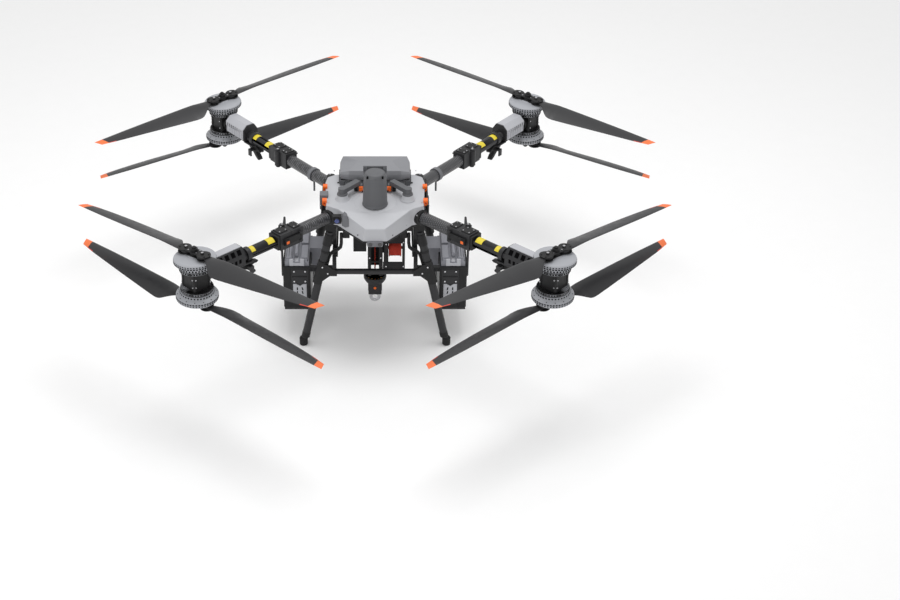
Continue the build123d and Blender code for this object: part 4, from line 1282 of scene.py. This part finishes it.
def battery_grips():
    """Raised grips either side of the handle, and the block behind them."""
    return bricks(
        ((337, 371), (-188, -62), (438, 462)), ((415, 449), (-188, -62), (438, 462)),
        ((340, 366), (-194, -150), (432, 452)), ((420, 446), (-194, -150), (432, 452)),
        ((337, 371), (-52, 98), (438, 468)), ((415, 449), (-52, 98), (438, 468)),
        ((345, 441), (62, 98), (438, 466)),
    )


def battery_clip():
    """The pale latch at the front of a battery."""
    return bricks(
        ((356, 376), (-200, -188), (416, 454)), ((410, 430), (-200, -188), (416, 454)),
        ((372, 414), (-199, -190), (416, 432)), ((384, 402), (-196, -150), (439, 443)),
    )


for side, sign in (("right", 1), ("left", -1)):
    body = f"battery_{side}"
    flip = Matrix.Diagonal((sign, 1, 1, 1))
    dress(body, BATTERY, 0.005, body)
    for name, make, material in (("grips", battery_grips, BATTERY), ("latch", battery_clip, BATTERY_LIGHT)):
        mesh = make()
        place_mesh(mesh, flip)
        piece(f"{body}_{name}", mesh, material, body, bevel=0.003, segments=3)
    mark = lathe(
        [(0, 0.4675), (0.005, 0.4675), (0.005, 0.4686), (0, 0.4686)], 20,
        Matrix.Translation((sign * 0.432, -0.030, 0)),
    )
    piece(f"{body}_mark", mark, RED_MARK, body)
    # The grooves are thin near-black strips: painted shade in the grooves.
    groove_place = Matrix.Translation((sign * 0.432, -0.125, 0.4625))
    grooves = rows(3, 1, 0.024, 0.0, (0.0016, 0.12, 0.0012), PAINTED_SHADE_SLOT, groove_place)
    piece(f"{body}_grooves", grooves, None, body)

# ---------------------------------------------------------------- winch, rope and hook

piece(
    "winch_details",
    bricks(
        ((-37, -34), (-92, -84), (300, 556)), ((36, 39), (-92, -84), (300, 556)),
        ((-34, 36), (-92, -86), (300, 312)), ((-34, 36), (-92, -86), (372, 380)),
        ((40, 152), (-91, -84), (334, 374)), ((44, 68), (-91, -84), (370, 556)),
        ((138, 152), (-91, -84), (370, 500)), ((44, 152), (-91, -84), (484, 556)),
        ((-96, -60), (-94, -88), (446, 548)),
    ),
    BLACK, AIRFRAME, bevel=0.0015,
)
winch_bolts = [
    (x * MM, -0.0925, z * MM)
    for x, z in ((-28, 330), (29, 330), (-28, 400), (29, 400), (56, 350), (144, 350), (56, 480), (144, 492))
]
piece(
    "winch_bolts", heads(winch_bolts, 0.0036, 0.003, STEEL, axis=(0, -1, 0)), None, AIRFRAME,
)
spool_place = Matrix.Translation(JOINTS["drum_spin"]["pos_m"]) @ Matrix.Rotation(math.pi / 2, 4, "Y")
turns = []
for turn in range(8):
    offset = -0.0245 + turn * 0.007
    coil_ring = lathe(
        [
            (0.0395, offset - 0.0034), (0.0415, offset - 0.0030), (0.0432, offset), (0.0415, offset + 0.0030),
            (0.0395, offset + 0.0034),
        ],
        56, spool_place,
    )
    turns.append(coil_ring)
piece("spooled_rope", joined("turns", turns), ROPE, "drum", crease=60)


def rope_tube():
    """The taut rope from the winch to the hook, with its laid strands."""
    low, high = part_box("winch_rope")
    x = (low[0] + high[0]) / 2
    y = (low[1] + high[1]) / 2
    curve = bpy.data.curves.new("rope_line", "CURVE")
    curve.dimensions = "3D"
    spline = curve.splines.new("NURBS")
    stops = (high[2], high[2] - 0.10, high[2] - 0.20, low[2])
    spline.points.add(len(stops) - 1)
    for point, z in zip(spline.points, stops):
        point.co = (x, y, z, 1)
    spline.order_u = 3
    spline.use_endpoint_u = True
    spline.resolution_u = 24
    holder = add_object("rope_line", curve)
    graph = bpy.context.evaluated_depsgraph_get()
    line = bpy.data.meshes.new_from_object(holder.evaluated_get(graph), depsgraph=graph)
    path = [tuple(vert.co) for vert in line.vertices]
    bpy.data.objects.remove(holder)
    rings = []
    for index, point in enumerate(path):
        ring_points = []
        for step in range(24):
            angle = 2 * math.pi * step / 24 + index * 0.55
            radius = 0.0036 + 0.0004 * math.cos(3 * (angle - index * 0.55))
            ring_points.append(
                (point[0] + radius * math.cos(angle), point[1] + radius * math.sin(angle), point[2])
            )
        rings.append(ring_points)
    return lofted(rings), path, low, high


rope_mesh, rope_path, rope_low, rope_high = rope_tube()
rope_mesh.materials.append(ROPE)
rope_mesh.shade_smooth()
rope = add_object("winch_rope_strands", rope_mesh)
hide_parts("winch_rope")
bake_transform(rope)

HOOK_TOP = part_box("hook_body")[1][2]
HOOK_Y = -0.03
flange = lathe(
    [
        (0, 0.0), (0.050, 0.0), (0.057, -0.003), (0.0585, -0.010), (0.056, -0.022), (0.047, -0.036),
        (0.036, -0.046), (0, -0.046),
    ],
    64, Matrix.Translation((0, HOOK_Y, HOOK_TOP)),
)
piece("hook_flange", flange, HOUSING, "hook", bevel=0.0008, crease=30)
dress("hook_body", HOUSING, 0.005, "hook")
contacts = heads(
    [
        (x * MM, HOOK_Y - math.sqrt(0.0475 ** 2 - (x * MM) ** 2), HOOK_TOP + 0.0004)
        for x in (-32, -16, 0, 16, 32)
    ],
    0.0038, 0.0022, BRASS, sides=16,
)
piece("hook_contacts", contacts, None, "hook")
button = lathe([(0, -0.002), (0.0072, -0.002), (0.0072, 0.001), (0.006, 0.0024), (0, 0.0024)], 28)
place_mesh(button, Matrix.Translation((0, -0.0565, HOOK_TOP - 0.067)) @ Matrix.Rotation(math.pi / 2, 4, "X"))
piece("hook_button", button, ORANGE, "hook", crease=40)
piece(
    "hook_side_plates",
    bricks(((-36, -33), (-52, -8), (180, 240)), ((33, 36), (-52, -8), (180, 240))),
    BLACK, "hook", bevel=0.0012,
)
dress("hook_shackle", STEEL, 0.003, "hook")

# ---------------------------------------------------------------- floor, light and camera

FLOOR = moulded("pale_floor", linear(252, 252, 252), 0.95, 0.02, contrast=0.01, shine=0.2)
floor = add_object(
    "floor", mesh_from("floor", [(-30, -30, 0), (30, -30, 0), (30, 30, 0), (-30, 30, 0)], [(0, 1, 2, 3)]),
)
floor.data.materials.append(FLOOR)

world = bpy.data.worlds.new("studio")
world.use_nodes = True
world.node_tree.nodes["Background"].inputs["Color"].default_value = (1, 1, 1, 1)
world.node_tree.nodes["Background"].inputs["Strength"].default_value = 0.80
bpy.context.scene.world = world


def softbox(name, place, aim, size, power):
    light = bpy.data.lights.new(name, "AREA")
    light.shape = "DISK"
    light.size = size
    light.energy = power
    lamp = bpy.data.objects.new(name, light)
    bpy.context.scene.collection.objects.link(lamp)
    lamp.location = place
    lamp.rotation_euler = (Vector(aim) - Vector(place)).to_track_quat("-Z", "Y").to_euler()


softbox("overhead", (0.2, 0.3, 4.6), (0, 0, 0.6), 2.4, 72)
softbox("front_fill", (-3.5, -5.5, 3.2), (0, 0, 0.5), 3.0, 60)

CAMERA_PLACE = (0.0, -7.3863, 4.7235)
CAMERA_PITCH = 32.10
LENS_MM = 66.71
SIDE_SHIFT = 0.0833

camera_data = bpy.data.cameras.new("camera")
camera_data.sensor_width = 36.0
camera_data.lens = LENS_MM
camera_data.shift_x = SIDE_SHIFT
camera_data.clip_end = 100.0
camera = bpy.data.objects.new("camera", camera_data)
bpy.context.scene.collection.objects.link(camera)
camera.location = CAMERA_PLACE
camera.rotation_euler = (math.radians(90 - CAMERA_PITCH), 0.0, 0.0)
bpy.context.scene.camera = camera
bpy.context.scene.view_settings.view_transform = "Standard"
